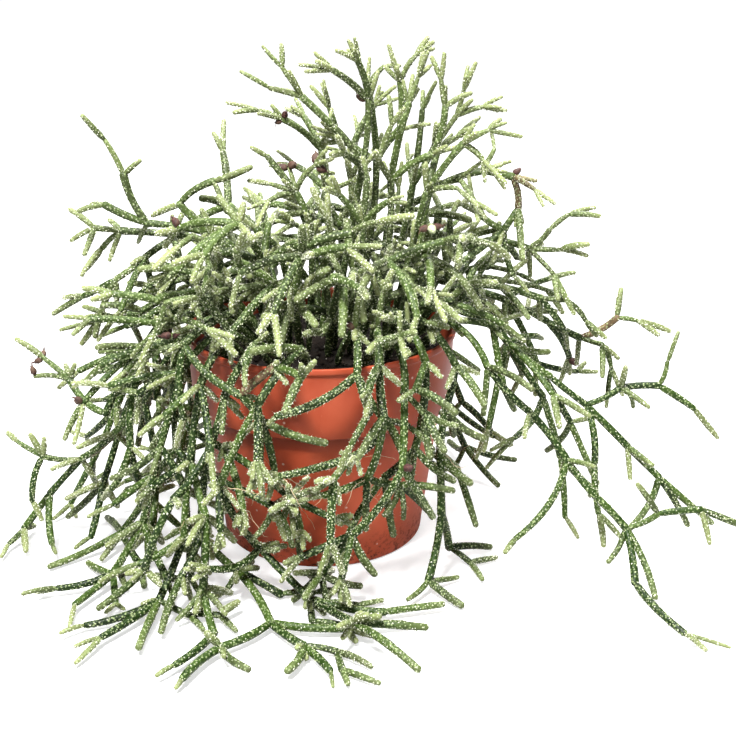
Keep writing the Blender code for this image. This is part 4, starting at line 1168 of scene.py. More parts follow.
# The skin round a joint.
SKIN_RADIUS = {STEM_HALF: 1.62, YOUNG_HALF: 1.32}       # by half the core's width
GIRTH = {"top": 0.97, "crown": 1.17, "left": 1.03, "right": 1.0, "front": 1.07, "back": 1.0}
GIRTH_VARIES = (0.93, 1.06)
SKIN_SIDES = 10
FRESH_SIDES = 7
BAND = 3.3               # length of one band of skin
CURVE_POINTS = 33
BEND_KEPT = 0.8          # a short joint follows this much of its curve
BOW = 0.05               # how far it strays aside as well, by its length
BOW_MOST = 1.6
NECK_LENGTH = 2.6
NECK_SHARE = 0.3         # of the length of a short joint
NECKED = (0.60, 0.74, 0.94)     # thickness along the neck, to the joint's full thickness
NECK_AT = 0.45           # where on the neck the second of them is
LUMPS = 0.035            # how much its thickness wavers
LUMP_LENGTH = 3.1
RIB = 0.025              # depth of the slight ribs along it
TAPER_FROM = 0.45        # an end tapers from this share of its length
TAPER_YOUNG = 0.26       # by this much, if it is young,
TAPER_GROWN = 0.16       # or grown
SWELL_FROM = 0.8         # a joint that bears others swells from here
SWELL = 0.05
ROUND_END = ((0.45, 0.86), (0.80, 0.50))    # rings past its end: how far on, and how wide
CROWN_AT = 0.96
TIP_WHITER = 0.50        # how much paler a fresh shoot gets to its end
END_WHITER = 0.28        # and a plain joint that bears nothing

# The bake map, where each joint's skin has a strip of its own and all the wool one patch.
STRIP = 12.4
STRIP_GAP = 1.0
STRIP_FOOT = 0.7         # room for the root's triangles
STRIP_CROWN = 0.6        # and for the crown's
STRIP_SPARE = 5.0        # more length than the joint's
PATCH_HIGH = 2.0
SKIN, WOOL = 0, 1        # the numbers of the two finishes


class Growth:
    """Collects the triangles of one cutting: skin, areoles and bristles."""

    def __init__(self):
        self.points, self.triangles, self.finishes, self.sheets = [], [], [], []
        self.looks = {"age": [], "tone": [], "dry": []}
        self.count = 0

    def take(self, points, triangles, finish, sheet, **given):
        """Add a part: its points, triangles, finish, bake map by corner, and looks by point."""
        self.points.append(points)
        self.triangles.append(triangles + self.count)
        self.finishes.append(np.full(len(triangles), finish))
        self.sheets.append(sheet)
        for key, values in given.items():
            self.looks[key].append(np.broadcast_to(values, len(points)))
        self.count += len(points)

    def mesh(self, name, map_size):
        """The mesh of all that was collected, and the number of each triangle's finish."""
        mesh = bpy.data.meshes.new(name)
        triangles = np.vstack(self.triangles)
        kinds = np.concatenate(self.finishes)
        mesh.vertices.add(self.count)
        mesh.vertices.foreach_set("co", (np.vstack(self.points) * MM).ravel())
        mesh.loops.add(triangles.size)
        mesh.loops.foreach_set("vertex_index", triangles.ravel())
        mesh.polygons.add(len(triangles))
        mesh.polygons.foreach_set("loop_start", np.arange(0, triangles.size, 3))
        mesh.polygons.foreach_set("use_smooth", kinds == SKIN)
        layer = mesh.uv_layers.new(name="OFBake")
        layer.data.foreach_set("uv", (np.vstack(self.sheets) / map_size).ravel())
        for key, parts in self.looks.items():
            values = mesh.attributes.new(key, "FLOAT", "POINT")
            values.data.foreach_set("value", np.concatenate(parts))
        return mesh, kinds


def units(rows):
    """Each row at length 1."""
    return rows / np.linalg.norm(rows, axis=1)[:, None]


def read_at(marks, at, rows):
    """Rows that are given at some distances, read at others."""
    return np.stack([np.interp(marks, at, rows[:, k]) for k in range(3)], axis=1)


def bowed(joint, rng):
    """A slight bend of its own for a joint, up off the surface where it lies."""
    aside = rng.normal(0, 1, 3)
    aside -= joint.ahead * (aside @ joint.ahead)
    strayed = unit(aside) * min(BOW * joint.length, BOW_MOST) * rng.uniform(0.3, 1.0)
    if min(joint.start[2], joint.end[2]) < LYING_HEIGHT:
        strayed[2] = abs(strayed[2])
    return strayed


def bent_line(joint, strayed):
    """Points along a joint and the direction at each."""
    middle = (joint.start + joint.end) / 2
    keep = 1.0 if joint.stretches > 1 else BEND_KEPT
    control = middle + (joint.control - middle) * keep + strayed
    line, t = curve(joint.start, control, joint.end, CURVE_POINTS)
    return line, units(2 * (1 - t) * (control - joint.start) + 2 * t * (joint.end - control))


def crosses(along):
    """Two crosswise directions for each point of a line, turning as little as they can."""
    first = along[0]
    other = np.array([0.0, 0.0, 1.0]) if abs(first[2]) < 0.8 else np.array([1.0, 0.0, 0.0])
    across = unit(np.cross(first, other))
    made = []
    for direction in along:
        across = unit(across - direction * (across @ direction))
        made.append(across)
    made = np.array(made)
    return made, np.cross(along, made)


class Tube:
    """The shape of a joint's skin, ring by ring: its middle, its directions and its radius, and
    where it is, as a share of the joint's length and as a distance down the line."""

    def __init__(self, joint, radius, strayed, rng):
        length = joint.length
        neck = min(NECK_LENGTH, length * NECK_SHARE)
        foot = [0.0, neck * NECK_AT, neck]
        bands = max(2, round((length - neck) / BAND))
        marks = np.concatenate([foot, np.linspace(neck, length, bands + 1)[1:]])
        line, along = bent_line(joint, strayed)
        at = np.linspace(0, length, CURVE_POINTS)
        centre, ahead = read_at(marks, at, line), units(read_at(marks, at, along))
        share = marks / length
        thick = np.interp(marks, [*foot, length], [*NECKED, 1.0])
        thick *= 1 + LUMPS * np.sin(share * length / LUMP_LENGTH + rng.uniform(0, 6.28))
        if all(child.fresh for child in joint.children):
            slim = TAPER_YOUNG if joint.young() else TAPER_GROWN
            thick *= 1 - slim * np.clip((share - TAPER_FROM) / (1 - TAPER_FROM), 0, 1) ** 1.6
        else:
            thick *= 1 + SWELL * np.clip((share - SWELL_FROM) / (1 - SWELL_FROM), 0, 1)
        widths = radius * thick
        last, on = widths[-1], ahead[-1]
        self.centre = np.vstack([centre, *(joint.end + on * last * out for out, _ in ROUND_END)])
        self.ahead = np.vstack([ahead, *(on for _ in ROUND_END)])
        self.radii = np.append(widths, [last * wide for _, wide in ROUND_END])
        self.share = np.append(share, [1] * len(ROUND_END))
        self.across, self.over = crosses(self.ahead)
        self.root = centre[0] - ahead[0] * widths[0] * 0.5
        self.crown = joint.end + on * last * CROWN_AT
        hops = np.linalg.norm(np.diff(self.centre, axis=0), axis=1)
        self.down = np.concatenate([[0.0], np.cumsum(hops)])

    def points(self, sides):
        """All its points: the rings, then the root and the crown."""
        angles = np.arange(sides) * 2 * math.pi / sides
        rib = 1 + RIB * np.cos(angles * (sides // 2))
        ring = (np.cos(angles)[None, :, None] * self.across[:, None, :]
                + np.sin(angles)[None, :, None] * self.over[:, None, :])
        rings = self.centre[:, None, :] + ring * (self.radii[:, None] * rib[None, :])[:, :, None]
        return np.vstack([rings.reshape(-1, 3), self.root, self.crown])


def together(*parts):
    """Arrays side by side."""
    return np.stack(parts, 1)


def whitening(joint):
    """How much paler a joint gets to its end."""
    return TIP_WHITER if joint.fresh else 0 if joint.children else END_WHITER


def skin(growth, joint, tube, corner, age, tone, dry):
    """One joint's skin, a closed tube. corner is where its strip of the bake map starts."""
    sides = FRESH_SIDES if joint.fresh else SKIN_SIDES
    rows = len(tube.centre)
    row, side = (index.ravel() for index in np.meshgrid(np.arange(rows - 1), np.arange(sides),
                                                        indexing="ij"))
    after = (side + 1) % sides
    a, b, c, d = (at * sides + turn for at, turn in
                  ((row, side), (row, after), (row + 1, after), (row + 1, side)))
    here = np.arange(sides)
    beside = (here + 1) % sides
    last = (rows - 1) * sides
    root = np.full(sides, rows * sides)
    triangles = np.vstack([together(a, b, c), together(a, c, d), together(root, beside, here),
                           together(root + 1, last + here, last + beside)])

    step = (STRIP - STRIP_GAP) / sides

    def spot(turn, up):
        return together(corner[0] + step * turn, corner[1] + up)

    low, high = STRIP_FOOT + tube.down[row], STRIP_FOOT + tube.down[row + 1]
    foot, flat = np.full(sides, STRIP_FOOT), np.zeros(sides)
    top = foot + tube.down[-1]
    sheet = np.vstack([
        together(spot(side, low), spot(side + 1, low), spot(side + 1, high)),
        together(spot(side, low), spot(side + 1, high), spot(side, high)),
        together(spot(here + 0.5, flat), spot(here + 1, foot), spot(here, foot)),
        together(spot(here + 0.5, top + STRIP_CROWN), spot(here, top), spot(here + 1, top))])

    ages = np.clip(age + whitening(joint) * tube.share ** 3, 0, 1)
    ages = np.concatenate([np.repeat(ages, sides), [age, ages[-1]]])
    growth.take(tube.points(sides), triangles, SKIN, sheet, age=ages, tone=tone, dry=dry)


# Areoles, the woolly cushions that bear the bristles.
AREOLES = 1.85           # how many there are on a mm of stem, for each mm of its radius
AREOLES_YOUNG = 1.4      # how many times more a young joint has
AREOLE_WIDE = 0.42
AREOLE_HIGH = 0.32
AREOLE_SIZES = (0.55, 1.30)     # to those
AREOLE_SUNK = 0.07
AREOLE_STRAY = 1.6       # how far one strays along the joint, by their spacing
AREOLE_TURN = 0.45       # and round it, in radians
WOOL_DARKER = 1.4        # the higher this is, the more of them are dark
WOOL_LEAN = (0.05, 0.30)
ON_NECK = 0.7            # how much smaller they are on a neck,
NECK_UNDER = 0.6         # which is thinner than this share of the joint
BRISTLED = 0.32          # how many of them have a bristle
BRISTLED_YOUNG = 1.3     # how many times more of a young joint's
BRISTLE_WIDE = 0.075
BRISTLE_LONG = (0.7, 1.4)
BRISTLE_FINE = 0.8       # how much shorter they are on a fine joint
BRISTLE_LEAN = (0.15, 0.8)      # how far its tip leans to the joint's end, by its length
BRISTLE_ASIDE = 0.35     # and to either side
GOLDEN_ANGLE = math.radians(137.508)
SPIKE_FACES = ((0, 1, 3), (1, 2, 3), (2, 0, 3), (0, 2, 1))


def spikes(growth, feet, outward, sideways, wide, high, lean, map_size, age, tone, dry):
    """Closed three-sided spikes: the wool of areoles, or bristles. All share the bake map's
    patch, where their tone gives each its place."""
    number = len(feet)
    across = np.cross(outward, sideways)
    corners = []
    for i in range(3):
        angle = 2 * math.pi * i / 3
        around_foot = math.cos(angle) * sideways + math.sin(angle) * across
        corners.append(feet + wide[:, None] * around_foot)
    tips = feet + high[:, None] * outward + lean
    points = together(*corners, tips).reshape(-1, 3)
    first = np.arange(number)[:, None] * 4
    triangles = np.concatenate([first + np.array(face) for face in SPIKE_FACES])
    spot = together(0.2 + tone * (map_size - 1.0), np.full(number, 0.3))
    spread = np.array([(0.0, 0.0), (0.6, 0.0), (0.3, 0.6)])
    sheet = np.tile(spot[:, None, :] + spread[None], (4, 1, 1))
    growth.take(points, triangles, WOOL, sheet, age=np.repeat(age, 4), tone=np.repeat(tone, 4),
                dry=dry)


def areoles(growth, joint, tube, radius, woolly, map_size, rng, age, dry):
    """Wool and bristles all over one joint, in a spiral."""
    length = tube.down[-1]
    woolly *= AREOLES_YOUNG if joint.young() else 1.0
    number = max(4, int(length * AREOLES * radius * woolly))
    order = np.arange(number)
    strayed = rng.uniform(-AREOLE_STRAY, AREOLE_STRAY, number)
    place = (order + 0.5 + strayed) / number * length
    angle = order * GOLDEN_ANGLE + rng.uniform(-AREOLE_TURN, AREOLE_TURN, number)
    middle, forward, cross, up = (read_at(place, tube.down, rows) for rows in
                                  (tube.centre, tube.ahead, tube.across, tube.over))
    reach = np.interp(place, tube.down, tube.radii)
    outward = units(np.cos(angle)[:, None] * cross + np.sin(angle)[:, None] * up)
    feet = middle + outward * (reach - AREOLE_SUNK)[:, None]
    forward = units(forward)
    sideways = units(np.cross(outward, forward))
    ages = np.clip(age + whitening(joint) * np.clip(place / length, 0, 1) ** 3, 0, 1)
    tone = rng.uniform(0, 1, number) ** WOOL_DARKER
    size = rng.uniform(*AREOLE_SIZES, number) * (0.85 + 0.15 * radius / 1.8) * (1 + 0.25 * ages)
    size *= np.where(reach < radius * NECK_UNDER, ON_NECK, 1.0)
    lean = forward * rng.uniform(*WOOL_LEAN, number)[:, None]
    spikes(growth, feet, outward, sideways, AREOLE_WIDE * size, AREOLE_HIGH * size, lean,
           map_size, ages, tone, dry)
    chosen = rng.uniform(0, 1, number) < BRISTLED * (BRISTLED_YOUNG if joint.young() else 1.0)
    count = int(chosen.sum())
    if not count:
        return
    long = rng.uniform(*BRISTLE_LONG, count) * (BRISTLE_FINE if radius < 1.0 else 1.0)
    lean = forward[chosen] * (long * rng.uniform(*BRISTLE_LEAN, count))[:, None]
    aside = rng.uniform(-BRISTLE_ASIDE, BRISTLE_ASIDE, count)
    lean += sideways[chosen] * (long * aside)[:, None]
    spikes(growth, feet[chosen], outward[chosen], sideways[chosen], np.full(count, BRISTLE_WIDE),
           long, lean, map_size, ages[chosen], tone[chosen], dry)


def bake_places(joints):
    """Where each joint's strip starts on the bake map, and the map's size. They fill columns."""
    lengths = [joint.length * 1.04 + STRIP_SPARE for joint in joints]
    height = max(max(lengths), math.sqrt(sum(lengths) * STRIP) * 1.08)
    places, column, reached = [], 0, 0.0
    for length in lengths:
        if reached + length > height:
            column, reached = column + 1, 0.0
        places.append((column * STRIP, reached + PATCH_HIGH))
        reached += length
    return places, max((column + 1) * STRIP, height + PATCH_HIGH)


# How joints differ. An age of 1 is the palest, and dry runs from 0 to 1.
FRESH_AGES = {"top": (0.30, 0.85), "crown": (0.15, 0.95), "left": (0.15, 0.75),
              "right": (0.05, 0.60), "front": (0.15, 0.80), "back": (0.15, 0.75)}
PALER_FROM = 70.0        # stems get paler above this height,
PALER_OVER = 110.0       # over this much more
WITHERING = 0.006        # how many joints are drying up
WITHERED = ("stem_top_06", (83, -6, 167))   # the joints that hang from this knot have dried
WITHERED_DRY = 0.6
WITHERING_DRY = (0.3, 0.8)
WOOLLY = {"top": 0.25, "crown": 0.30, "left": 0.14, "right": 0.10, "front": 0.30, "back": 0.12}
WOOLLY_MORE = 1.7        # how many times more areoles a woolly joint has; their share is above
PLAIN_WOOL = (0.8, 1.1)  # the same for the others
OLD_SHADED_MIDDLE = 10.0        # joints near here in x and 0 in y are old, with less wool, and their tone is painted darker as the shade deep in the crown
OLD_SHADED_RADIUS = 52.0        # how near,
OLD_SHADED_HEIGHT = 128.0       # and how low down
OLD_WOOL = 0.55
# painted shade: the share of their tone that those joints keep
DEEP_SHADE_TONE = 0.3
END_AGE = 0.12           # how pale the last joints may be,
END_AGE_HIGH = 0.30      # and how much more high up
YOUNG_AGE = 0.08         # how much paler young joints are,
YOUNG_AGE_HIGH = 0.14    # and how much more high up
HIGH_AGE = 0.18          # how much paler every joint is high up


def age_of(joint, group, rng):
    """How pale a joint is."""
    if joint.fresh:
        return rng.uniform(*FRESH_AGES[group])
    high_up = min(max((joint.end[2] - PALER_FROM) / PALER_OVER, 0), 1)
    age = 0.0 if joint.children else rng.uniform(0.0, END_AGE + END_AGE_HIGH * high_up)
    if joint.young():
        age += YOUNG_AGE + YOUNG_AGE_HIGH * high_up
    return age + HIGH_AGE * high_up


def dryness(joint, name, rng):
    """How dry a joint is: a few are drying up, and those that hang from one knot have dried."""
    cutting, knot = WITHERED
    withering = not joint.fresh and rng.random() < WITHERING
    dry = rng.uniform(*WITHERING_DRY) if withering else 0.0
    hangs = joint.ahead[2] < 0 and np.linalg.norm(joint.start - knot) < 3
    return WITHERED_DRY if name.startswith(cutting) and hangs else dry


def grown(name, joints, finishes):
    """The piece for one cutting."""
    growth, group = Growth(), group_of(name)
    rng = np.random.default_rng(sum(ord(letter) * (at + 1) for at, letter in enumerate(name)))
    places, map_size = bake_places(joints)
    for joint, corner in zip(joints, places):
        radius = joint.half if joint.fresh else SKIN_RADIUS[joint.half] * GIRTH[group]
        radius *= rng.uniform(*GIRTH_VARIES)
        age, tone = age_of(joint, group, rng), rng.uniform(0, 1)
        strayed = bowed(joint, rng)
        dry = dryness(joint, name, rng)
        woolly = WOOLLY_MORE if rng.random() < WOOLLY[group] else rng.uniform(*PLAIN_WOOL)
        # Joints low in the crown's middle are old and carry less wool; their darker tone is
        # painted shade.
        old = math.hypot(joint.end[0] - OLD_SHADED_MIDDLE, joint.end[1]) < OLD_SHADED_RADIUS
        if old and joint.end[2] < OLD_SHADED_HEIGHT:
            woolly, tone = OLD_WOOL, tone * DEEP_SHADE_TONE
        tube = Tube(joint, radius, strayed, rng)
        skin(growth, joint, tube, corner, age, tone, dry)
        areoles(growth, joint, tube, radius, woolly, map_size, rng, age, dry)
    mesh, kinds = growth.mesh(name, map_size)
    for made_of in finishes:
        mesh.materials.append(made_of)
    mesh.polygons.foreach_set("material_index", kinds)
    mesh.update(calc_edges=True)
    mesh.validate()
    return placed(name, mesh)


def looks(tree, name):
    """A value that the mesh carries by point."""
    node = tree.nodes.new("ShaderNodeAttribute")
    node.attribute_name = name
    return node.outputs["Fac"]


SKIN_TONES = [(0.28, (0.002, 0.006, 0.001)), (0.52, (0.013, 0.032, 0.003)),
              (0.80, (0.054, 0.094, 0.014))]
FRESH_GREEN = (0.205, 0.232, 0.095)
MEALY = (0.270, 0.335, 0.150)        # the pale specks between the areoles
DRY_TONES = [(0.35, (0.055, 0.028, 0.018)), (0.65, (0.190, 0.105, 0.062))]
WOOL_TONES = [(0.0, (0.20, 0.24, 0.11)), (0.5, (0.40, 0.43, 0.26)), (1.0, (0.78, 0.77, 0.66))]
FRESH_WOOL = (0.80, 0.80, 0.68)
GREEN_WOOL = (0.42, 0.46, 0.30)
DRY_WOOL = (0.36, 0.26, 0.18)

stem_green, tree, shader, where = material("stem_skin")
mottle = noise(tree, where, 420, 4, 0.6)
patches = noise(tree, where, 55, 3, 0.5)
shade = plus(tree, times(tree, mottle, 0.55), times(tree, patches, 0.25))
shade = plus(tree, shade, times(tree, looks(tree, "tone"), 0.30))
green = mixed(tree, looks(tree, "age"), toned(tree, shade, SKIN_TONES), FRESH_GREEN)
green = mixed(tree, looks(tree, "dry"), green, toned(tree, mottle, DRY_TONES))
from_dot, _ = cells(tree, where, 720)
green = mixed(tree, ranged(tree, from_dot, 0.40, 0.20, 0.0, 0.72), green, MEALY)
raised = maths(tree, "SUBTRACT", times(tree, mottle, 0.6), from_dot)
shader.inputs["Specular IOR Level"].default_value = 0.20
coat(tree, shader, green, ranged(tree, mottle, 0.3, 0.7, 0.38, 0.58), raised, 0.00035, 0.7)

stem_wool, tree, shader, where = material("areole_wool")
fluff = noise(tree, where, 2400, 2)
cream = toned(tree, looks(tree, "tone"), WOOL_TONES)
cream = mixed(tree, times(tree, looks(tree, "age"), 0.45), cream, FRESH_WOOL)
cream = mixed(tree, ranged(tree, fluff, 0.35, 0.7, 0.0, 0.3), cream, GREEN_WOOL)
cream = mixed(tree, times(tree, looks(tree, "dry"), 0.6), cream, DRY_WOOL)
shader.inputs["Specular IOR Level"].default_value = 0.2
coat(tree, shader, cream, ranged(tree, fluff, 0.3, 0.7, 0.75, 0.95), fluff, 0.0002, 0.5)

plant, thicket = grow()
fresh_rng = random.Random(FRESH_SEED)
for name, joints in plant.items():
    joints = standing(joints, core_points(name))
    joints += fresh_shoots(thicket, fresh_rng, joints, group_of(name))
    plant[name] = joints
    piece = grown(name + "_skin", joints, (stem_green, stem_wool))
    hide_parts(name)
    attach(piece, "root")


# ==== Withered buds ===========================================================================
# Flower buds and berries that dried where they sat: dark red-brown, shrivelled lumps of dead
# tissue with a few curled petals, still held by the knots.

BUD_SEED = 9
BUD_LONG = (1.7, 2.7)    # half a bud's length
BUD_OUT = 1.2            # from the middle of its knot to a bud's foot
BUD_FOLDS = 0.22         # how deep its folds are, by its width,
FOLDS_ROUND = (4, 6)     # and how many go round it
FOLD_ROUGH = 0.3
BUD_LEAN = (-0.1, 0.8)   # how far it leans along its stem
PETALS_AT = 1.3          # where along a bud its petals sit, in half lengths
PETAL_LONG = 0.9         # in half lengths of the bud too
PETAL_CURL = 0.4         # how far it leans aside
PETAL_THICK = 0.12       # half its thickness
PETAL_WIDTHS = ((0.0, 0.28), (0.4, 0.46), (0.75, 0.34), (1.0, 0.10))    # half of them, by place
# Knots that carry dry buds: the cutting, a place near the knot, and how many.
BUDDED = [("stem_top_09", (-10, -12, 174), 3), ("stem_top_09", (-1, -19, 174), 3),
          ("stem_top_07", (-15, 3, 190), 2), ("stem_crown_04", (48, -33, 153), 2),
          ("stem_crown_10", (21, -39, 149), 1), ("stem_top_06", (83, -6, 167), 2),
          ("stem_left_04", (-124, -10, 86), 2), ("stem_left_04", (-128, -12, 78), 1),
          ("stem_left_04", (-99, -45, 78), 2), ("stem_crown_11", (-38, -60, 107), 1),
          ("stem_front_02", (-58, -51, 110), 2)]
STRAY_BUDS = 9           # more of them, at knots anywhere
# Places near the knots that carry a young bud, which is pale, plump and downy.
PALE_BUDS = [(29, -36, 141), (47, -27, 150)]
PALE_LONG = 2.9
PALE_OUT = 0.8
PALE_FOLDS = 0.08
DRIED, PALE = 0, 1       # the numbers of the two finishes


def closed_tube(sheet, rings):
    """A closed four-sided tube through rings of points."""
    rings = [[sheet.verts.new(Vector(point) * MM) for point in ring] for ring in rings]
    for one, other in zip(rings, rings[1:]):
        for i in range(4):
            j = (i + 1) % 4
            sheet.faces.new((one[i], one[j], other[j], other[i]))
    sheet.faces.new(rings[0][::-1])
    sheet.faces.new(rings[-1])


def shrivelled(sheet, place, heading, long, rng, fold, kind):
    """One bud: a pod along a heading, puckered by its folds."""
    made = bmesh.ops.create_icosphere(sheet, subdivisions=2, radius=1.0)["verts"]
    turn = Vector(heading).to_track_quat("Z", "Y")
    folds = rng.randint(*FOLDS_ROUND)
    phase = rng.uniform(0, 6)
    for vert in made:
        x, y, z = vert.co
        crease = math.cos(folds * math.atan2(y, x) + phase + z * 2)
        crease += rng.uniform(-FOLD_ROUGH, FOLD_ROUGH)
        pucker, taper = 1 + fold * crease, 0.62 - 0.16 * z
        shape = Vector((x * taper * pucker, y * taper * pucker, z)) * long
        vert.co = (Vector(place) + turn @ (shape + Vector((0, 0, long * 0.8)))) * MM
    for face in {face for vert in made for face in vert.link_faces}:
        face.material_index = kind


def petal(sheet, place, heading, aside, long):
    """A curled dry petal: a thin closed sliver that bends aside."""
    heading, aside = Vector(heading), Vector(aside)
    across = heading.cross(aside).normalized()
    thick = heading.cross(across) * PETAL_THICK
    rings = []
    for at, wide in PETAL_WIDTHS:
        middle = Vector(place) + heading * long * at + aside * long * 0.5 * at * at
        rings.append([middle + across * wide * x + thick * y
                      for x, y in ((-1, 0), (0, -1), (1, 0), (0, 1))])
    closed_tube(sheet, rings)


def nearest(joints, place):
    """The joint whose knot is nearest to a place."""
    return min(joints, key=lambda joint: np.linalg.norm(joint.end - np.array(place)))


bud_rng = random.Random(BUD_SEED)
every = [joint for joints in plant.values() for joint in joints]
bearing = [nearest(plant[name], place) for name, place, count in BUDDED for _ in range(count)]
grown_knots = [joint for joint in every if joint.children and not joint.fresh]
bearing += bud_rng.sample(grown_knots, STRAY_BUDS)
bud_sheet = bmesh.new()
for knot in bearing:
    side = crosswise(knot.ahead, bud_rng)
    heading = unit(side + knot.ahead * bud_rng.uniform(*BUD_LEAN))
    start = knot.end + heading * BUD_OUT
    long = bud_rng.uniform(*BUD_LONG)
    shrivelled(bud_sheet, start, heading, long, bud_rng, BUD_FOLDS, DRIED)
    for _ in range(bud_rng.randint(1, 3)):
        aside = crosswise(heading, bud_rng)
        curled = unit(heading + aside * PETAL_CURL)
        petal(bud_sheet, start + heading * long * PETALS_AT, curled, aside, long * PETAL_LONG)
for place in PALE_BUDS:
    heading = unit(np.array([bud_rng.uniform(-0.6, 0.6), -1.0, bud_rng.uniform(-0.3, 0.5)]))
    start = nearest(every, place).end + heading * PALE_OUT
    shrivelled(bud_sheet, start, heading, PALE_LONG, bud_rng, PALE_FOLDS, PALE)
bmesh.ops.recalc_face_normals(bud_sheet, faces=bud_sheet.faces)
buds = shaped("withered_buds", bud_sheet)
buds.data.shade_smooth()

HUSK_TONES = [(0.32, (0.012, 0.003, 0.003)), (0.55, (0.052, 0.011, 0.009)),
              (0.80, (0.15, 0.065, 0.048))]
HUSK_TAN = (0.105, 0.062, 0.036)

dried, tree, shader, where = material("dried_bud")
crumple = noise(tree, where, 900, 4, 0.65)
tan = ranged(tree, noise(tree, where, 120, 2), 0.42, 0.62, 0.0, 0.8)
husk = mixed(tree, tan, toned(tree, crumple, HUSK_TONES), HUSK_TAN)
coat(tree, shader, husk, ranged(tree, crumple, 0.3, 0.7, 0.55, 0.85), crumple, 0.0005, 0.9)
buds.data.materials.append(dried)

pale_bud, tree, shader, where = material("pale_bud")
down = noise(tree, where, 1500, 3)
downy = toned(tree, down, [(0.35, (0.28, 0.33, 0.16)), (0.65, (0.52, 0.55, 0.36))])
coat(tree, shader, downy, ranged(tree, down, 0.3, 0.7, 0.65, 0.85), down, 0.0004, 0.8)
buds.data.materials.append(pale_bud)
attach(buds, "root")


# ==== Aerial roots ============================================================================
# Fine dry roots that the knots put out in damp air: pale tan threads, thinner than a bristle is
# long, that hang and curl over the pot.

ROOT_SEED = 12
ROOT_HALF = 0.19         # half a root's thickness at its knot,
ROOT_TAPER = 0.75        # of which it loses this share to its end
ROOT_STEP = 1.6
ROOT_STEPS = (6, 15)
ROOT_INWARD = (-0.2, 0.9)       # how strongly it sets off towards the pot
ROOT_CURL = 0.28
ROOT_DROOP = 0.07
ROOT_AIR = 0.5           # between a root's middle and the pot
NEAR_LIP = 94.0          # higher than this a root has to clear the lip
ROOTED_GROUPS = ("front", "left", "right", "back")
ROOT_TUFTS = 34
ROOTED_HEIGHTS = (38, 74)
ROOTED_RADIUS = 84


def root_rings(start, rng):
    """The rings of one root that curls away from a knot and keeps clear of the pot."""
    spot, rings = start, []
    inward = -unit(np.array([spot[0], spot[1], 0.0])) * rng.uniform(*ROOT_INWARD)
    anyhow = np.array([rng.uniform(-1, 1), rng.uniform(-1, 1), rng.uniform(-1.0, 0.2)])
    heading = unit(inward + anyhow)
    count = rng.randint(*ROOT_STEPS)
    for step in range(count):
        across = unit(np.cross(heading, np.array([0.3, 0.2, 1.0])))
        over = np.cross(heading, across)
        half = ROOT_HALF * (1 - ROOT_TAPER * step / count)
        rings.append([spot + across * half * x + over * half * y
                      for x, y in ((1, 0), (0, 1), (-1, 0), (0, -1))])
        bend = np.array([rng.gauss(0, ROOT_CURL) for _ in range(3)])
        heading = unit(heading + (bend - np.array([0, 0, ROOT_DROOP])))
        ahead = spot + heading * ROOT_STEP
        out = math.hypot(ahead[0], ahead[1])
        least = wall_radius(ahead[2]) + (LIP_OUT if ahead[2] > NEAR_LIP else 0) + ROOT_AIR
        if out < least:
            ahead[:2] *= least / out
            heading = unit(ahead - spot)
        spot = ahead
    return rings


def rooted(joint):
    """Whether a knot hangs near the pot's wall, where roots come."""
    low, high = ROOTED_HEIGHTS
    x, y, z = joint.end
    return joint.children and low < z < high and math.hypot(x, y) < ROOTED_RADIUS


root_rng = random.Random(ROOT_SEED)
near_wall = [joint for name, joints in plant.items() if group_of(name) in ROOTED_GROUPS
             for joint in joints if rooted(joint)]
root_sheet = bmesh.new()
for knot in root_rng.sample(near_wall, ROOT_TUFTS):
    for _ in range(root_rng.randint(1, 3)):
        closed_tube(root_sheet, root_rings(knot.end, root_rng))
bmesh.ops.recalc_face_normals(root_sheet, faces=root_sheet.faces)
roots = shaped("aerial_roots", root_sheet)
roots.data.shade_smooth()

thread, tree, shader, where = material("dry_root")
stain = noise(tree, where, 260, 3)
straw = toned(tree, stain, [(0.3, (0.36, 0.20, 0.10)), (0.7, (0.70, 0.55, 0.36))])
ridges = noise(tree, where, 3000, 2)
coat(tree, shader, straw, ranged(tree, stain, 0.3, 0.7, 0.6, 0.85), ridges, 0.0001, 0.5)
roots.data.materials.append(thread)
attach(roots, "root")


# ==== Floor, light and camera =================================================================
# A pale matt table that runs out of sight, lit by large soft lamps, as for a catalogue.

FLOOR_SIZE = 12.0        # in metres, as all of the stage
FLOOR_SUNK = 0.0002
FLOOR_TONES = [(0.3, (0.52, 0.52, 0.525)), (0.7, (0.55, 0.55, 0.55))]
WHITE = (1.0, 1.0, 1.0)
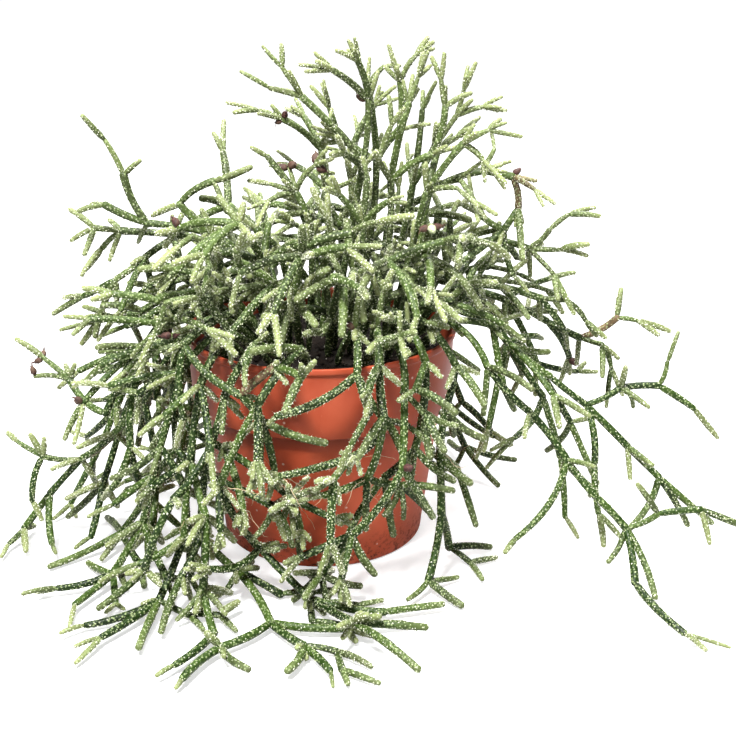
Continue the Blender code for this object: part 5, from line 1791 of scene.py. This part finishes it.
# Each lamp's name, place, what it points at, its width and its power in watts.
LAMPS = [("key", (-0.22, -0.56, 1.05), (0, 0, 0.08), 0.22, 37.0),
         ("fill", (0.60, -0.80, 0.60), (0, 0, 0.08), 0.6, 3.0),
         ("top", (0.10, 0.15, 1.05), (0, 0, 0.05), 0.4, 13.0),
         ("back", (0.30, 0.85, 0.70), (0, 0, 0.08), 0.5, 8.0)]
LENS = 60.0
CAMERA_PLACE = (0.0213, -0.5280, 0.2691)
CAMERA_DOWN = 19.94      # degrees below level
CAMERA_NEAREST = 0.01

bpy.ops.mesh.primitive_plane_add(size=FLOOR_SIZE, location=(0, 0, -FLOOR_SUNK))
floor = bpy.context.object
floor.name = "pale_floor"
pale, tree, shader, where = material("pale_floor")
matt = toned(tree, noise(tree, where, 3, 2), FLOOR_TONES)
reach = tree.nodes.new("ShaderNodeVectorMath")
reach.operation = "LENGTH"
feed(tree, reach.inputs[0], where)
glow = ranged(tree, reach.outputs["Value"], 0.30, 0.75, 0.60, 1.0)
seen = tree.nodes.new("ShaderNodeLightPath").outputs["Is Camera Ray"]
for key, given in (("Base Color", matt), ("Roughness", 0.9), ("Specular IOR Level", 0.1),
                   ("Emission Color", WHITE), ("Emission Strength", times(tree, seen, glow))):
    feed(tree, shader.inputs[key], given)
floor.data.materials.append(pale)

world = bpy.data.worlds.new("white_room")
bpy.context.scene.world = world
world.use_nodes = True
tree = world.node_tree
sight = tree.nodes.new("ShaderNodeLightPath").outputs
direct = maths(tree, "MAXIMUM", sight["Is Camera Ray"], sight["Is Transmission Ray"])
air = tree.nodes["Background"]
feed(tree, air.inputs["Color"], WHITE)
feed(tree, air.inputs["Strength"], ranged(tree, direct, 0.0, 1.0, 0.06, 1.0))

for name, place, aim, size, power in LAMPS:
    lamp = bpy.data.lights.new(name, "AREA")
    lamp.shape = "SQUARE"
    lamp.size = size
    lamp.energy = power
    made = placed(name, lamp)
    made.location = place
    made.rotation_euler = (Vector(aim) - Vector(place)).to_track_quat("-Z", "Y").to_euler()

eye = bpy.data.cameras.new("camera")
eye.lens = LENS
eye.clip_start = CAMERA_NEAREST
camera = placed("camera", eye)
camera.location = CAMERA_PLACE
camera.rotation_euler = (math.radians(90 - CAMERA_DOWN), 0, 0)
bpy.context.scene.camera = camera
bpy.context.scene.view_settings.view_transform = "Standard"
